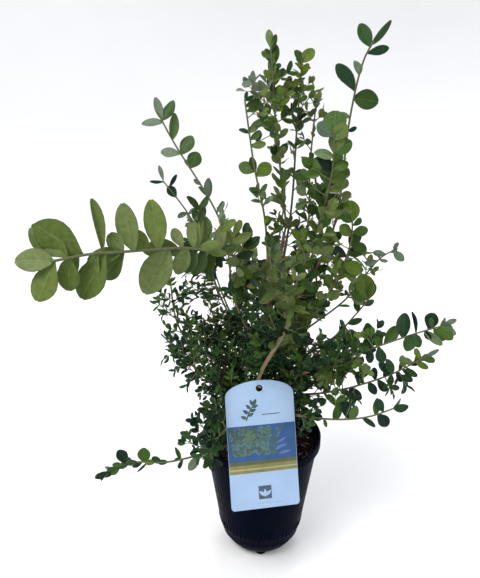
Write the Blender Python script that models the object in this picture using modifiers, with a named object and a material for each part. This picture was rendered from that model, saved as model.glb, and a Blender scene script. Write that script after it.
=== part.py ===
"""Young boxwood, loose and unclipped, in a small round nursery pot with a hang tag.

Metres, +Z up. The origin is the middle of the pot's flat underside, +X is the plant's right
and -Y its front, where the tag leans on the rim. The tables below are in millimetres.
"""

import math
import random
from collections import namedtuple

import bmesh
import bpy
from mathutils import Matrix, Vector
from mathutils.bvhtree import BVHTree
from mathutils.geometry import interpolate_bezier

MM = 0.001
GAP = 0.3  # between any two neighbouring solids
UP = Vector((0.0, 0.0, 1.0))
FRONT = Vector((0.0, -1.0, 0.0))

# ---- Pot and compost: radius and height of each corner of the turned profiles ----
TURN_STEPS = 32
POT_INSIDE = ((0.0, 1.8), (20.0, 1.8), (24.3, 2.8), (30.0, 7.0), (35.3, 14.7), (39.7, 28.4), (52.5, 113.2))
POT_RIM = ((55.3, 115.6), (55.7, 124.0), (56.6, 124.0), (57.0, 123.4), (57.0, 114.9))
POT_OUTSIDE = ((53.8, 114.0), (41.0, 28.0), (36.5, 14.0), (31.0, 6.0), (25.0, 1.5), (20.0, 0.0), (0.0, 0.0))
SOIL_SIDE = ((0.0, 112.0), (40.0, 112.0), (51.6, 110.4), (39.3, 28.5), (34.9, 14.9), (29.7, 7.3), (24.1, 3.2))
SOIL_FLOOR = ((19.8, 2.15), (0.0, 2.15))
SOIL_TOP = 112.0
DRAIN_HOLES = 6
DRAIN_RADIUS = 2.4
DRAIN_MIDDLE = (33.2, 10.4)  # radius and height of the middle of each hole, on the rounded foot
DRAIN_TILT = math.radians(125.0)  # from straight up to the way a hole runs out
FEET = 4
FOOT_RADIUS = 5.5
FOOT_MIDDLE = 22.5
FOOT_HEIGHT = 1.7

# ---- Hang tag: it stands on its lower edge's middle, leans back on the rim and turns a little ----
TAG_WIDTH = 61.0
TAG_SIDE = 99.0  # height of the straight sides
TAG_ARCH = 13.0  # rise of the arched top above them
TAG_THICK = 0.5
TAG_CORNER = 3.0
TAG_HOLE_RADIUS = 3.0
TAG_HOLE_HEIGHT = 105.0
TAG_FOOT = (2.1, -70.1, 92.4)
TAG_LEAN = math.radians(20.0)
TAG_TURN = math.radians(10.0)
SPUR_RADIUS = 1.1
SPUR_LIFT = 1.5  # the spur runs through the upper part of the hole
SPUR_BACK = 5.5  # from the tag's plane back to the bough
SPUR_FRONT = 6.0

# ---- Trunk ----
TRUNK_WAY = ((0.0, 0.0, 150.0), (1.0, 1.0, 190.0), (4.0, 0.0, 225.0), (8.0, 0.0, 262.0), (17.0, 0.0, 320.0))
TRUNK_RADIUS = 3.5
TRUNK_TIP_RADIUS = 1.5
FLARE_RADIUS = 6.2  # at the compost
FLARE_HEIGHT = 7.0

# ---- Shoots. Each leaves the trunk at a height, passes its waypoints and ends at the last one.
# cuts: the shares of its way where one limb ends and the next begins; what is past the last cut
# is foliage. leaf: length of a leaf. step: between pairs of leaves. side: length of its longest
# side twigs. every: side twigs stand at every such node. ----
Shoot = namedtuple("Shoot", "name root way cuts leaf step side every")
TOP = "the trunk's tip"
SHOOTS = (
    Shoot("near_arch", 138, ((-6, -26, 186), (-5, -28, 200), (-1, -39, 213), (16, -92, 288), (-15, -140, 339),
                             (-48, -180, 360), (-80, -217, 369), (-114, -240, 376)),
          (0.36, 0.48), 25, 15, 0, 0),
    Shoot("leader", TOP, ((7, -10, 416), (1, -20, 480)), (), 17, 16, 20, 2),
    Shoot("top_right", 262, ((23, 12, 335), (26, 8, 414), (28, 0, 470)), (0.25,), 17, 17, 18, 3),
    Shoot("top_left", 246, ((0, -22, 334), (-10, -30, 384), (-19, -38, 444)), (0.3,), 17, 17, 20, 2),
    Shoot("tall_right", 224, ((54, -15, 320), (60, -45, 425), (66, -60, 465), (79, -68, 483)),
          (0.3,), 24, 27, 0, 0),
    Shoot("column_front", 214, ((37, -42, 327), (46, -60, 384), (44, -70, 427)), (0.35,), 21, 17, 0, 0),
    Shoot("column_back", 231, ((39, 30, 307), (41, 35, 378), (45, 35, 441)), (0.28,), 17, 18, 20, 3),
    Shoot("column_right", 202, ((51, -25, 270), (68, -32, 320), (67, -35, 353)), (0.3,), 18, 17, 18, 3),
    Shoot("left_tall", 208, ((-25, -8, 263), (-36, -12, 332), (-75, -12, 402), (-90, -15, 433)),
          (0.28,), 17, 20, 17, 3),
    Shoot("left_back", 192, ((-38, 35, 247), (-63, 50, 316), (-97, 50, 366)), (0.28,), 15, 19, 16, 3),
    Shoot("left_fine", 172, ((-43, -20, 211), (-72, -25, 242), (-80, -25, 297)), (0.3,), 16, 15, 18, 2),
    Shoot("left_spray", 160, ((-43, -30, 192), (-72, -35, 226), (-95, -35, 251)), (0.3,), 16, 15, 20, 2),
    Shoot("left_low", 127, ((-41, -37, 130), (-84, -45, 122), (-121, -40, 117), (-154, -35, 97)),
          (0.36,), 15, 16, 0, 0),
    Shoot("left_front", 133, ((-31, -48, 160), (-45, -62, 148), (-48, -68, 128)), (0.38,), 17, 14, 0, 0),
    Shoot("right_back", 195, ((40, 30, 216), (80, 38, 246), (111, 42, 286), (134, 42, 299)),
          (0.28,), 17, 19, 17, 3),
    Shoot("right_mid", 184, ((61, -5, 224), (81, -8, 249), (99, -8, 275)), (0.3,), 17, 17, 18, 2),
    Shoot("right_long", 174, ((64, -40, 221), (115, -60, 253), (151, -62, 266)), (0.28,), 19, 16, 22, 3),
    Shoot("right_lower", 163, ((61, -20, 179), (112, -25, 199), (150, -25, 223)), (0.3,), 18, 16, 20, 3),
    Shoot("right_low", 151, ((48, -50, 170), (83, -66, 181), (116, -70, 197)), (0.33,), 17, 16, 18, 3),
    Shoot("back_left", 200, ((-30, 45, 230), (-48, 72, 268), (-62, 85, 305)), (0.3,), 19, 18, 20, 3),
    Shoot("back_high", 236, ((14, 45, 290), (20, 58, 330), (22, 62, 365)), (0.28,), 19, 18, 20, 2),
    Shoot("back_middle", 180, ((10, 60, 225), (10, 88, 255), (8, 110, 290)), (0.3,), 19, 18, 20, 3),
    Shoot("back_right", 189, ((40, 55, 225), (62, 78, 255), (78, 92, 290)), (0.3,), 19, 18, 20, 3),
    Shoot("back_low_left", 158, ((-40, 38, 170), (-62, 52, 186), (-80, 64, 208)), (0.3,), 19, 18, 20, 3),
    Shoot("back_low_right", 154, ((45, 40, 172), (68, 56, 188), (90, 70, 212)), (0.3,), 19, 18, 20, 3),
    Shoot("inner_left", 168, ((-26, 4, 200), (-44, 12, 240)), (), 19, 16, 20, 2),
    Shoot("inner_front", 196, ((4, -26, 222), (0, -42, 262)), (), 19, 16, 20, 3),
    Shoot("inner_right", 206, ((28, 8, 236), (40, 6, 276)), (), 19, 16, 20, 2),
    Shoot("inner_low_right", 140, ((20, -12, 160), (34, -20, 200)), (), 19, 15, 18, 2),
    Shoot("inner_low_left", 147, ((-20, -20, 168), (-26, -34, 202)), (), 19, 15, 18, 2),
)
BOUGH_RADIUS = 1.7
BOUGH_TIP_RADIUS = 1.15
BOUGH_POINTS = 4
NEAR_BOUGH_POINTS = 11
NEAR_BOUGH_RADIUS = 2.1
STEM_RADIUS = 1.0
STEM_TIP_RADIUS = 0.5
TWIG_RADIUS = 0.75
BIG_LEAF = 20.0  # leaves from this length on have two more corners

# ---- Leaves ----
LEAF_WIDTH = 0.7  # of its length
BIG_LEAF_WIDTH = 0.62
LEAF_THICK = 0.5  # millimetres, in the middle
LEAF_OPEN = math.radians(56.0)  # between leaf and stem
END_OPEN = math.radians(24.0)  # the same for the leaves at a tip
END_SHARE = 0.7  # of a leaf that the leaves at a tip reach past the stem
TWIG_OPEN = math.radians(46.0)
PAIR_OFFSET = 0.35  # between the roots of a pair, along the stem
SHORTER = (1.0, 0.8, 0.62)  # the lengths that are tried before a leaf or twig is skipped
REACH = 30.0  # no leaf is farther than this from its own stem
CROWN_MIDDLE = 6.0  # the crown leans this far to the right

Placed = namedtuple("Placed", "owner tree low high")


# ---- Scene, collections and materials ----

def clear_scene():
    for thing in list(bpy.data.objects):
        bpy.data.objects.remove(thing, do_unlink=True)


def new_collection(name):
    collection = bpy.data.collections.new(name)
    bpy.context.scene.collection.children.link(collection)
    return collection


def paint(thing, colour, roughness, metallic=0.0):
    """Gives an object its own material with a plain Principled BSDF."""
    material = bpy.data.materials.new(thing.name)
    material.use_nodes = True
    shader = material.node_tree.nodes["Principled BSDF"]
    shader.inputs["Base Color"].default_value = (*colour, 1.0)
    shader.inputs["Roughness"].default_value = roughness
    shader.inputs["Metallic"].default_value = metallic
    thing.data.materials.clear()
    thing.data.materials.append(material)


# ---- Curves and the meshes made from them ----

def smooth_way(points, count):
    """count points, evenly spaced along a smooth curve through the given ones."""
    points = [Vector(point) for point in points]
    slopes = [points[1] - points[0]]
    slopes += [(after - before) / 2 for before, after in zip(points, points[2:])]
    slopes.append(points[-1] - points[-2])
    fine = []
    for (a, slope_a), (b, slope_b) in zip(zip(points, slopes), zip(points[1:], slopes[1:])):
        pull = (b - a).length / 3
        start = a + slope_a.normalized() * pull
        end = b - slope_b.normalized() * pull
        fine += interpolate_bezier(a, start, end, b, 24)[:-1]
    fine.append(points[-1])
    return evenly(fine, count)


def evenly(points, count):
    """count points at equal distances along a run of straight pieces."""
    along = [0.0]
    for before, after in zip(points, points[1:]):
        along.append(along[-1] + (after - before).length)
    found = []
    piece = 0
    for number in range(count):
        distance = along[-1] * number / (count - 1)
        while piece < len(points) - 2 and along[piece + 1] < distance:
            piece += 1
        share = (distance - along[piece]) / max(along[piece + 1] - along[piece], 1e-9)
        found.append(points[piece].lerp(points[piece + 1], share))
    return found


def piece_of(points, first, last):
    """The stretch of an evenly spaced way between two shares of its length."""
    count = len(points) - 1

    def at(share):
        place = min(share * count, count - 1e-6)
        return points[int(place)].lerp(points[int(place) + 1], place - int(place))

    inner = [point for number, point in enumerate(points) if first < number / count < last]
    return [at(first), *inner, at(last)]


def length_of(points):
    return sum((after - before).length for before, after in zip(points, points[1:]))


def as_mesh(thing):
    """Turns a curve object into a mesh object of the same name, with its caps welded on."""
    bpy.context.view_layer.update()
    mesh = bpy.data.meshes.new_from_object(thing.evaluated_get(bpy.context.evaluated_depsgraph_get()))
    name = thing.name
    matrix = thing.matrix_world.copy()
    home = thing.users_collection[0]
    bpy.data.objects.remove(thing, do_unlink=True)
    shape = bmesh.new()
    shape.from_mesh(mesh)
    bmesh.ops.remove_doubles(shape, verts=shape.verts, dist=1e-6)
    bmesh.ops.recalc_face_normals(shape, faces=shape.faces)
    shape.to_mesh(mesh)
    shape.free()
    made = bpy.data.objects.new(name, mesh)
    made.matrix_world = matrix
    home.objects.link(made)
    return made


def tube(name, points, radii, home, sides=8, section=None):
    """A tapering limb through the points, all in millimetres."""
    curve = bpy.data.curves.new(name, "CURVE")
    curve.dimensions = "3D"
    curve.use_fill_caps = True
    spline = curve.splines.new("POLY")
    spline.points.add(len(points) - 1)
    for spot, point, radius in zip(spline.points, points, radii):
        spot.co = (*(point * MM), 1.0)
        spot.radius = radius
    if section:
        curve.bevel_mode = "OBJECT"
        curve.bevel_object = section
    else:
        curve.bevel_depth = MM
        curve.bevel_resolution = (sides - 4) // 2
    thing = bpy.data.objects.new(name, curve)
    home.objects.link(thing)
    return as_mesh(thing)


def three_sided_section(home):
    """A triangle of 1 mm radius that the thin stems are drawn along."""
    curve = bpy.data.curves.new("stem_section", "CURVE")
    curve.dimensions = "2D"
    spline = curve.splines.new("POLY")
    spline.points.add(2)
    spline.use_cyclic_u = True
    for number, spot in enumerate(spline.points):
        angle = math.tau * number / 3
        spot.co = (MM * math.cos(angle), MM * math.sin(angle), 0.0, 1.0)
    thing = bpy.data.objects.new("stem_section", curve)
    thing.hide_render = True
    thing.display_type = "WIRE"
    home.objects.link(thing)
    return thing


# ---- Pot, compost and tag ----

def turned(name, profile, home):
    """A solid turned about Z; its profile starts and ends on the axis."""
    mesh = bpy.data.meshes.new(name)
    corners = [(radius * MM, 0.0, height * MM) for radius, height in profile]
    mesh.from_pydata(corners, [(n, n + 1) for n in range(len(corners) - 1)], [])
    thing = bpy.data.objects.new(name, mesh)
    home.objects.link(thing)
    screw = thing.modifiers.new("Turn", "SCREW")
    screw.steps = TURN_STEPS
    screw.render_steps = TURN_STEPS
    screw.use_merge_vertices = True
    screw.merge_threshold = 0.00001
    screw.use_smooth_shade = True
    return thing


def round_the_pot(name, count, place, radius, depth, sides, collection):
    """A helper object of equal cylinders round the pot's axis, for a Boolean."""
    shape = bmesh.new()
    for number in range(count):
        turn = Matrix.Rotation(math.tau * number / count - math.pi / 2, 4, "Z")
        bmesh.ops.create_cone(shape, cap_ends=True, segments=sides, radius1=radius * MM,
                              radius2=radius * MM, depth=depth * MM, matrix=turn @ place)
    mesh = bpy.data.meshes.new(name)
    shape.to_mesh(mesh)
    shape.free()
    helper = bpy.data.objects.new(name, mesh)
    helper.hide_render = True
    helper.display_type = "WIRE"
    collection.objects.link(helper)
    return helper


def make_pot(home, cutters):
    pot = turned("pot", POT_INSIDE + POT_RIM + POT_OUTSIDE, home)
    under = Matrix.Translation((FOOT_MIDDLE * MM, 0.0, FOOT_HEIGHT / 2 * MM))
    feet = pot.modifiers.new("Feet", "BOOLEAN")
    feet.operation = "UNION"
    feet.object = round_the_pot("pot_feet", FEET, under, FOOT_RADIUS, FOOT_HEIGHT, 8, cutters)
    half_step = Matrix.Rotation(math.pi / DRAIN_HOLES, 4, "Z")
    radius, height = DRAIN_MIDDLE
    middle = Matrix.Translation((radius * MM, 0.0, height * MM))
    outward = half_step @ middle @ Matrix.Rotation(DRAIN_TILT, 4, "Y")
    cut = pot.modifiers.new("Drain holes", "BOOLEAN")
    cut.operation = "DIFFERENCE"
    cut.object = round_the_pot("drain_holes", DRAIN_HOLES, outward, DRAIN_RADIUS, 8.0, 8, cutters)
    paint(pot, (0.012, 0.012, 0.014), 0.42)
    return pot


def make_soil(home):
    soil = turned("potting_soil", SOIL_SIDE + SOIL_FLOOR, home)
    paint(soil, (0.035, 0.024, 0.017), 0.95)
    return soil


def tag_matrix():
    """From the tag's own plane, X across and Y up it, to where it leans on the rim."""
    lean = Matrix.Rotation(math.radians(90.0) - TAG_LEAN, 4, "X")
    return Matrix.Translation(Vector(TAG_FOOT) * MM) @ Matrix.Rotation(TAG_TURN, 4, "Z") @ lean


def tag_outline():
    """The tag's edge in its own plane, counter-clockwise from the lower left corner."""
    half = TAG_WIDTH / 2
    corner = TAG_CORNER
    edge = []
    for middle, first in (((-half + corner, corner), 180.0), ((half - corner, corner), 270.0)):
        for number in range(4):
            angle = math.radians(first + 30.0 * number)
            edge.append((middle[0] + corner * math.cos(angle), middle[1] + corner * math.sin(angle)))
    for number in range(13):
        angle = math.pi * number / 12
        edge.append((half * math.cos(angle), TAG_SIDE + TAG_ARCH * math.sin(angle)))
    return edge


def make_tag(home):
    curve = bpy.data.curves.new("hang_tag", "CURVE")
    curve.dimensions = "2D"
    curve.fill_mode = "BOTH"
    curve.extrude = TAG_THICK / 2 * MM
    hole = []
    for number in range(12):
        angle = math.tau * number / 12
        hole.append((TAG_HOLE_RADIUS * math.cos(angle), TAG_HOLE_HEIGHT + TAG_HOLE_RADIUS * math.sin(angle)))
    for edge in (tag_outline(), hole):
        spline = curve.splines.new("POLY")
        spline.points.add(len(edge) - 1)
        spline.use_cyclic_u = True
        for spot, (across, up) in zip(spline.points, edge):
            spot.co = (across * MM, up * MM, 0.0, 1.0)
    tag = bpy.data.objects.new("hang_tag", curve)
    tag.matrix_world = tag_matrix()
    home.objects.link(tag)
    tag = as_mesh(tag)
    paint(tag, (0.62, 0.68, 0.74), 0.35)
    return tag


def make_spur(home):
    """The short dead twig that the tag hangs on, from the near bough out through the tag's hole."""
    plane = tag_matrix()
    middle = plane @ (Vector((0.0, TAG_HOLE_HEIGHT + SPUR_LIFT, 0.0)) * MM) / MM
    front = (plane.to_3x3() @ UP).normalized()
    points = [middle + front * (SPUR_FRONT * share - SPUR_BACK * (1 - share)) for share in (0.0, 0.35, 0.7, 1.0)]
    radii = [SPUR_RADIUS * size for size in (1.15, 1.0, 0.85, 0.6)]
    spur = tube("tag_spur", points, radii, home, sides=6)
    paint(spur, (0.20, 0.11, 0.06), 0.8)
    return spur


# ---- Trunk and boughs ----

def trunk_points():
    foot = Vector((0.0, 0.0, SOIL_TOP + GAP))
    rise = [foot + UP * height for height in (0.0, 1.5, 4.0, 8.0)]
    return rise + smooth_way((foot + UP * 14.0, *TRUNK_WAY), 9)


def trunk_radius(height):
    above = height - SOIL_TOP
    flare = (FLARE_RADIUS - TRUNK_RADIUS) * math.exp(-above / FLARE_HEIGHT)
    share = min(above / (TRUNK_WAY[-1][2] - SOIL_TOP), 1.0)
    return TRUNK_RADIUS + (TRUNK_TIP_RADIUS - TRUNK_RADIUS) * share + flare


def on_trunk(points, height):
    """The point of the trunk's axis at a height."""
    for before, after in zip(points, points[1:]):
        if before.z <= height <= after.z:
            return before.lerp(after, (height - before.z) / (after.z - before.z))
    return points[-1]


def shoot_way(shoot, trunk, radius):
    """A shoot's smooth way, from clear of the trunk to its tip."""
    if shoot.root == TOP:
        along = (trunk[-1] - trunk[-2]).normalized()
        start = trunk[-1] + along * GAP
        return smooth_way((start, start + along * 8.0, *shoot.way), 60)
    axis = on_trunk(trunk, shoot.root)
    course = (Vector(shoot.way[0]) - axis).normalized()
    outward = Vector((course.x, course.y, 0.0)).normalized()
    tilt = math.sqrt(max(1.0 - course.dot(outward) ** 2, 0.0))
    away = trunk_radius(shoot.root - 3.0) + GAP + radius * tilt
    return smooth_way((axis + outward * away, *shoot.way), 60)


def make_limbs(home, section):
    """The trunk, every shoot's boughs and the stem of every mass; the stems go on to carry leaves."""
    trunk = trunk_points()
    wood = tube("trunk", trunk, [trunk_radius(point.z) for point in trunk], home, sides=8)
    paint(wood, (0.17, 0.12, 0.07), 0.85)
    limbs = [wood]
    stems = {}
    for shoot in SHOOTS:
        near = shoot.name == "near_arch"
        radius = NEAR_BOUGH_RADIUS if near else BOUGH_RADIUS
        count = NEAR_BOUGH_POINTS if near else BOUGH_POINTS
        way = shoot_way(shoot, trunk, radius if shoot.cuts else STEM_RADIUS)
        gap = GAP / length_of(way)
        first = 0.0
        for number, cut in enumerate(shoot.cuts):
            run = evenly(piece_of(way, first, cut), count)
            thick = []
            for spot in range(count):
                share = (first + (cut - first) * spot / (count - 1)) / shoot.cuts[-1]
                thick.append(radius + (BOUGH_TIP_RADIUS - radius) * share)
            part = "" if len(shoot.cuts) == 1 else ("_lower", "_upper")[number]
            bough = tube(f"{shoot.name}_bough{part}", run, thick, home, sides=6)
            paint(bough, (0.16, 0.13, 0.06), 0.8)
            limbs.append(bough)
            first = cut + gap
        leaf_room = END_SHARE * shoot.leaf / length_of(way)
        run = piece_of(way, first, 1.0 - leaf_room)
        run = evenly(run, max(5, round(length_of(run) / 22.0)))
        thick = [STEM_RADIUS + (STEM_TIP_RADIUS - STEM_RADIUS) * n / (len(run) - 1) for n in range(len(run))]
        stem = tube(f"{shoot.name}_foliage", run, thick, home, section=section)
        stems[shoot.name] = (stem, run)
    return limbs, stems


# ---- Leaves and twigs ----

def unit_leaf(corners):
    """A leaf 1 long along +X, 1 wide and 1 thick, as a flattened sphere with the given corners."""
    shape = bmesh.new()
    bmesh.ops.create_uvsphere(shape, u_segments=corners, v_segments=2, radius=1.0)
    edge = [vert for vert in shape.verts if abs(vert.co.z) < 0.5]
    edge.sort(key=lambda vert: math.atan2(vert.co.y, vert.co.x))
    for vert in shape.verts:
        vert.co = (0.55, 0.0, math.copysign(0.5, vert.co.z))
    for number, vert in enumerate(edge):
        angle = math.tau * number / corners
        reach = 0.5 - 0.5 * math.cos(angle) + 0.1 * math.sin(angle) ** 2
        vert.co = (reach, -0.5 * math.sin(angle) * (1.0 - 0.15 * math.cos(angle)), 0.0)
    mesh = bpy.data.meshes.new(f"leaf_of_{corners}")
    shape.to_mesh(mesh)
    shape.free()
    return mesh


def unit_twig():
    """A three-sided twig 1 long along +X, of radius 1 at its root."""
    shape = bmesh.new()
    lay = Matrix.Translation((0.5, 0.0, 0.0)) @ Matrix.Rotation(math.radians(90.0), 4, "Y")
    bmesh.ops.create_cone(shape, cap_ends=True, segments=3, radius1=1.0, radius2=0.6, depth=1.0, matrix=lay)
    mesh = bpy.data.meshes.new("twig")
    shape.to_mesh(mesh)
    shape.free()
    return mesh


def lay_out(base, course, face, size):
    """A matrix that puts a unit piece at base, along course, its thickness toward face; millimetres."""
    side = face.cross(course).normalized()
    top = course.cross(side)
    turn = Matrix((course, side, top)).transposed().to_4x4()
    return Matrix.Scale(MM, 4) @ Matrix.Translation(base) @ turn @ Matrix.Diagonal((*size, 1.0))


def placed(mesh, matrix, owner):
    """The piece as a surface that later pieces are kept clear of."""
    points = [matrix @ vert.co for vert in mesh.vertices]
    tree = BVHTree.FromPolygons(points, [list(face.vertices) for face in mesh.polygons])
    low = Vector(map(min, zip(*points)))
    high = Vector(map(max, zip(*points)))
    return Placed(owner, tree, low, high)


def touches(piece, others):
    for other in others:
        apart = any(piece.low[n] > other.high[n] or other.low[n] > piece.high[n] for n in range(3))
        if not apart and piece.tree.overlap(other.tree):
            return True
    return False


def in_pot(piece):
    """Whether a piece would dip into the pot: it may pass over the rim or outside the wall only."""
    if piece.low.z > (POT_RIM[1][1] + 1.0) * MM:
        return False
    middle = (piece.low + piece.high) / 2
    near = math.hypot(middle.x, middle.y) - (piece.high - piece.low).length / 2
    if near > (POT_RIM[3][0] + 1.0) * MM:
        return False
    return math.hypot(middle.x, middle.y) > 46.0 * MM or piece.low.z < (SOIL_TOP + 1.5) * MM


class Crown:
    """All the plant's masses while they grow: what is placed, and whose space each point is."""

    def __init__(self, stems, solids):
        self.stems = {name: [point * MM for point in evenly(run, 24)] for name, (_, run) in stems.items()}
        self.solids = solids
        self.leaves = []
        self.blades = []
        self.twigs = []

    def owner_of(self, point):
        nearest = {}
        for name, points in self.stems.items():
            nearest[name] = min((point - spot).length_squared for spot in points)
        name = min(nearest, key=nearest.get)
        return name, math.sqrt(nearest[name])

    def clear(self, whole, blade, owner):
        """Whether a piece clears every solid and other mass, and its blade its own mass's pieces."""
        if in_pot(whole) or touches(whole, self.solids):
            return False
        others = [item for item in self.leaves + self.twigs if item.owner != owner]
        if touches(whole, others):
            return False
        own = [item for item in self.blades + self.twigs if item.owner == owner]
        return not touches(blade, own)


def leaf_face(base, course, along, draw):
    """The way a leaf's upper side looks: outward, to the bright front and up, a little to the shoot's tip."""
    outward = Vector((base.x - CROWN_MIDDLE, base.y, 0.0))
    outward = outward.normalized() if outward.length > 1.0 else FRONT
    face = outward * 0.6 + FRONT * 0.45 + UP * 0.55 + along * 0.25
    face += Vector([draw.uniform(-0.3, 0.3) for _ in range(3)])
    face -= course * face.dot(course)
    return face.normalized() if face.length > 0.1 else course.orthogonal().normalized()


def across(along):
    """Two directions square to a stem, the second toward its upper side."""
    level = along.cross(UP)
    level = level.normalized() if level.length > 0.05 else Vector((1.0, 0.0, 0.0))
    return level, level.cross(along).normalized()


def spread(along, angle, opening):
    """A direction that leaves a stem at the opening angle; level stems hold their leaves flat."""
    level, upper = across(along)
    flat = 1.0 - 0.55 * math.hypot(along.x, along.y)
    outward = (level * math.cos(angle) + upper * math.sin(angle) * flat).normalized()
    return (along * math.cos(opening) + outward * math.sin(opening)).normalized()


def add_leaf(crown, owner, base, course, along, length, draw, units, pieces):
    big = length >= BIG_LEAF
    unit = units["big_leaf" if big else "leaf"]
    wobble = [draw.uniform(-0.12, 0.12) for _ in range(3)]
    course = (course + Vector(wobble)).normalized()
    for share in SHORTER:
        size = length * share
        face = leaf_face(base, course, along, draw)
        middle = (base + course * size * 0.6) * MM
        name, away = crown.owner_of(middle)
        if name != owner or away > REACH * MM:
            continue
        wide = size * (BIG_LEAF_WIDTH if big else LEAF_WIDTH)
        roomy = lay_out(base, course, face, (size + 0.6, wide + 0.8, LEAF_THICK + 0.8))
        inner = lay_out(base + course * size * 0.25, course, face, (size * 0.75 + 0.3, wide + 0.4, LEAF_THICK + 0.4))
        whole = placed(unit, roomy, owner)
        blade = placed(unit, inner, owner)
        if not crown.clear(whole, blade, owner):
            continue
        exact = lay_out(base - course * 0.4, course, face, (size, wide, LEAF_THICK))
        crown.leaves.append(placed(unit, exact, owner))
        crown.blades.append(blade)
        pieces.append((unit, exact))
        return True
    return False


def add_twig(crown, owner, base, course, length, units, pieces):
    """A side twig, shortened until it is clear; gives its length, or 0 where there is no room."""
    for share in SHORTER:
        size = length * share
        face = course.orthogonal().normalized()
        roomy = lay_out(base, course, face, (size + 0.6, TWIG_RADIUS + 0.5, TWIG_RADIUS + 0.5))
        past = base + course * 3.0
        inner = lay_out(past, course, face, (size - 3.0, TWIG_RADIUS + 0.3, TWIG_RADIUS + 0.3))
        whole = placed(units["twig"], roomy, owner)
        blade = placed(units["twig"], inner, owner)
        if crown.owner_of((base + course * size) * MM)[0] != owner or not crown.clear(whole, blade, owner):
            continue
        exact = lay_out(base, course, face, (size, TWIG_RADIUS, TWIG_RADIUS))
        crown.twigs.append(placed(units["twig"], exact, owner))
        pieces.append((units["twig"], exact))
        return size
    return 0.0


def leafy_twig(crown, shoot, base, course, length, draw, units, pieces):
    size = add_twig(crown, shoot.name, base, course, length, units, pieces)
    if not size:
        return
    leaf = shoot.leaf * draw.uniform(0.8, 0.95)
    angle = draw.uniform(0.0, math.pi)
    nodes = max(1, round(size / (shoot.step * 0.9)))
    for number in range(nodes):
        spot = base + course * (size * (number + 1) / nodes - 1.2)
        last = number == nodes - 1
        opening = END_OPEN * 1.5 if last else LEAF_OPEN
        for turn in (0.0, math.pi):
            spot = spot + course * PAIR_OFFSET
            heading = spread(course, angle + turn, opening)
            add_leaf(crown, shoot.name, spot, heading, course, leaf, draw, units, pieces)
        angle += math.pi / 2


def grow(crown, shoot, run, seed, units):
    """Leaves and leafy side twigs along one shoot's stem, by the rule for opposite leaves."""
    draw = random.Random(seed)
    pieces = []
    total = length_of(run)
    nodes = max(2, int(total / shoot.step))
    fine = evenly(run, nodes * 8 + 1)
    turn = draw.uniform(0.0, math.pi)
    for number in range(1, nodes + 1):
        place = number * 8 - 4
        base = fine[place]
        along = (fine[place + 1] - fine[place - 1]).normalized()
        angle = turn + number * math.pi / 2 + draw.uniform(-0.25, 0.25)
        share = number / nodes
        branches = shoot.every and number % shoot.every == 0 and share < 0.9
        for half in (0.0, math.pi):
            base = base + along * PAIR_OFFSET
            if branches:
                course = spread(along, angle + half, TWIG_OPEN)
                length = shoot.side * (1.15 - 0.55 * share) * draw.uniform(0.8, 1.15)
                leafy_twig(crown, shoot, base, course, length, draw, units, pieces)
            else:
                course = spread(along, angle + half, LEAF_OPEN)
                length = shoot.leaf * draw.uniform(0.88, 1.08) * (1.0 - 0.18 * share)
                add_leaf(crown, shoot.name, base, course, along, length, draw, units, pieces)
    along = (fine[-1] - fine[-3]).normalized()
    for half, back in ((0.0, 1.9), (math.pi, 1.4)):
        course = spread(along, turn + half, END_OPEN)
        add_leaf(crown, shoot.name, fine[-1] - along * back, course, along, shoot.leaf * 0.8, draw, units, pieces)
    return pieces


# ---- Joining each mass ----

def keep_largest_island(mesh):
    """Drops loose scraps, and inner shells, which fills a hollow that the union has sealed.

    Gives the share of the corners that was kept.
    """
    shape = bmesh.new()
    shape.from_mesh(mesh)
    left = set(shape.verts)
    islands = []
    while left:
        island = set()
        edge = [left.pop()]
        while edge:
            vert = edge.pop()
            island.add(vert)
            for link in vert.link_edges:
                other = link.other_vert(vert)
                if other in left:
                    left.discard(other)
                    edge.append(other)
        islands.append(island)
    keep = max(islands, key=len)
    kept = len(keep) / len(shape.verts)
    bmesh.ops.delete(shape, geom=[vert for vert in shape.verts if vert not in keep], context="VERTS")
    shape.to_mesh(mesh)
    shape.free()
    return kept


def join(stem, pieces):
    """One Boolean union of a stem with its twigs and leaves, applied; the pieces are then removed."""
    group = new_collection(f"{stem.name}_pieces")
    for number, (unit, matrix) in enumerate(pieces):
        mesh = unit.copy()
        mesh.transform(matrix)
        group.objects.link(bpy.data.objects.new(f"{stem.name}_piece_{number}", mesh))
    bare = stem.data
    for solver in ("EXACT", "MANIFOLD"):
        union = stem.modifiers.new("Join", "BOOLEAN")
        union.operation = "UNION"
        union.operand_type = "COLLECTION"
        union.collection = group
        union.solver = solver
        bpy.context.view_layer.update()
        mesh = bpy.data.meshes.new_from_object(stem.evaluated_get(bpy.context.evaluated_depsgraph_get()))
        stem.modifiers.clear()
        whole = keep_largest_island(mesh)
        if whole > 0.9:
            break
    stem.data = mesh
    bpy.data.meshes.remove(bare)
    for piece in list(group.objects):
        bpy.data.objects.remove(piece, do_unlink=True)
    bpy.data.collections.remove(group)


def solid_surface(thing):
    """An object's surface as something that leaves are kept clear of."""
    bpy.context.view_layer.update()
    seen = thing.evaluated_get(bpy.context.evaluated_depsgraph_get())
    mesh = bpy.data.meshes.new_from_object(seen)
    surface = placed(mesh, thing.matrix_world, thing.name)
    bpy.data.meshes.remove(mesh)
    return surface


GREENS = {
    "near_arch": (0.115, 0.175, 0.045),
    "leader": (0.075, 0.125, 0.04),
    "left_tall": (0.085, 0.135, 0.055),
    "left_back": (0.08, 0.13, 0.05),
}
COMMON_GREEN = (0.045, 0.09, 0.026)


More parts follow.
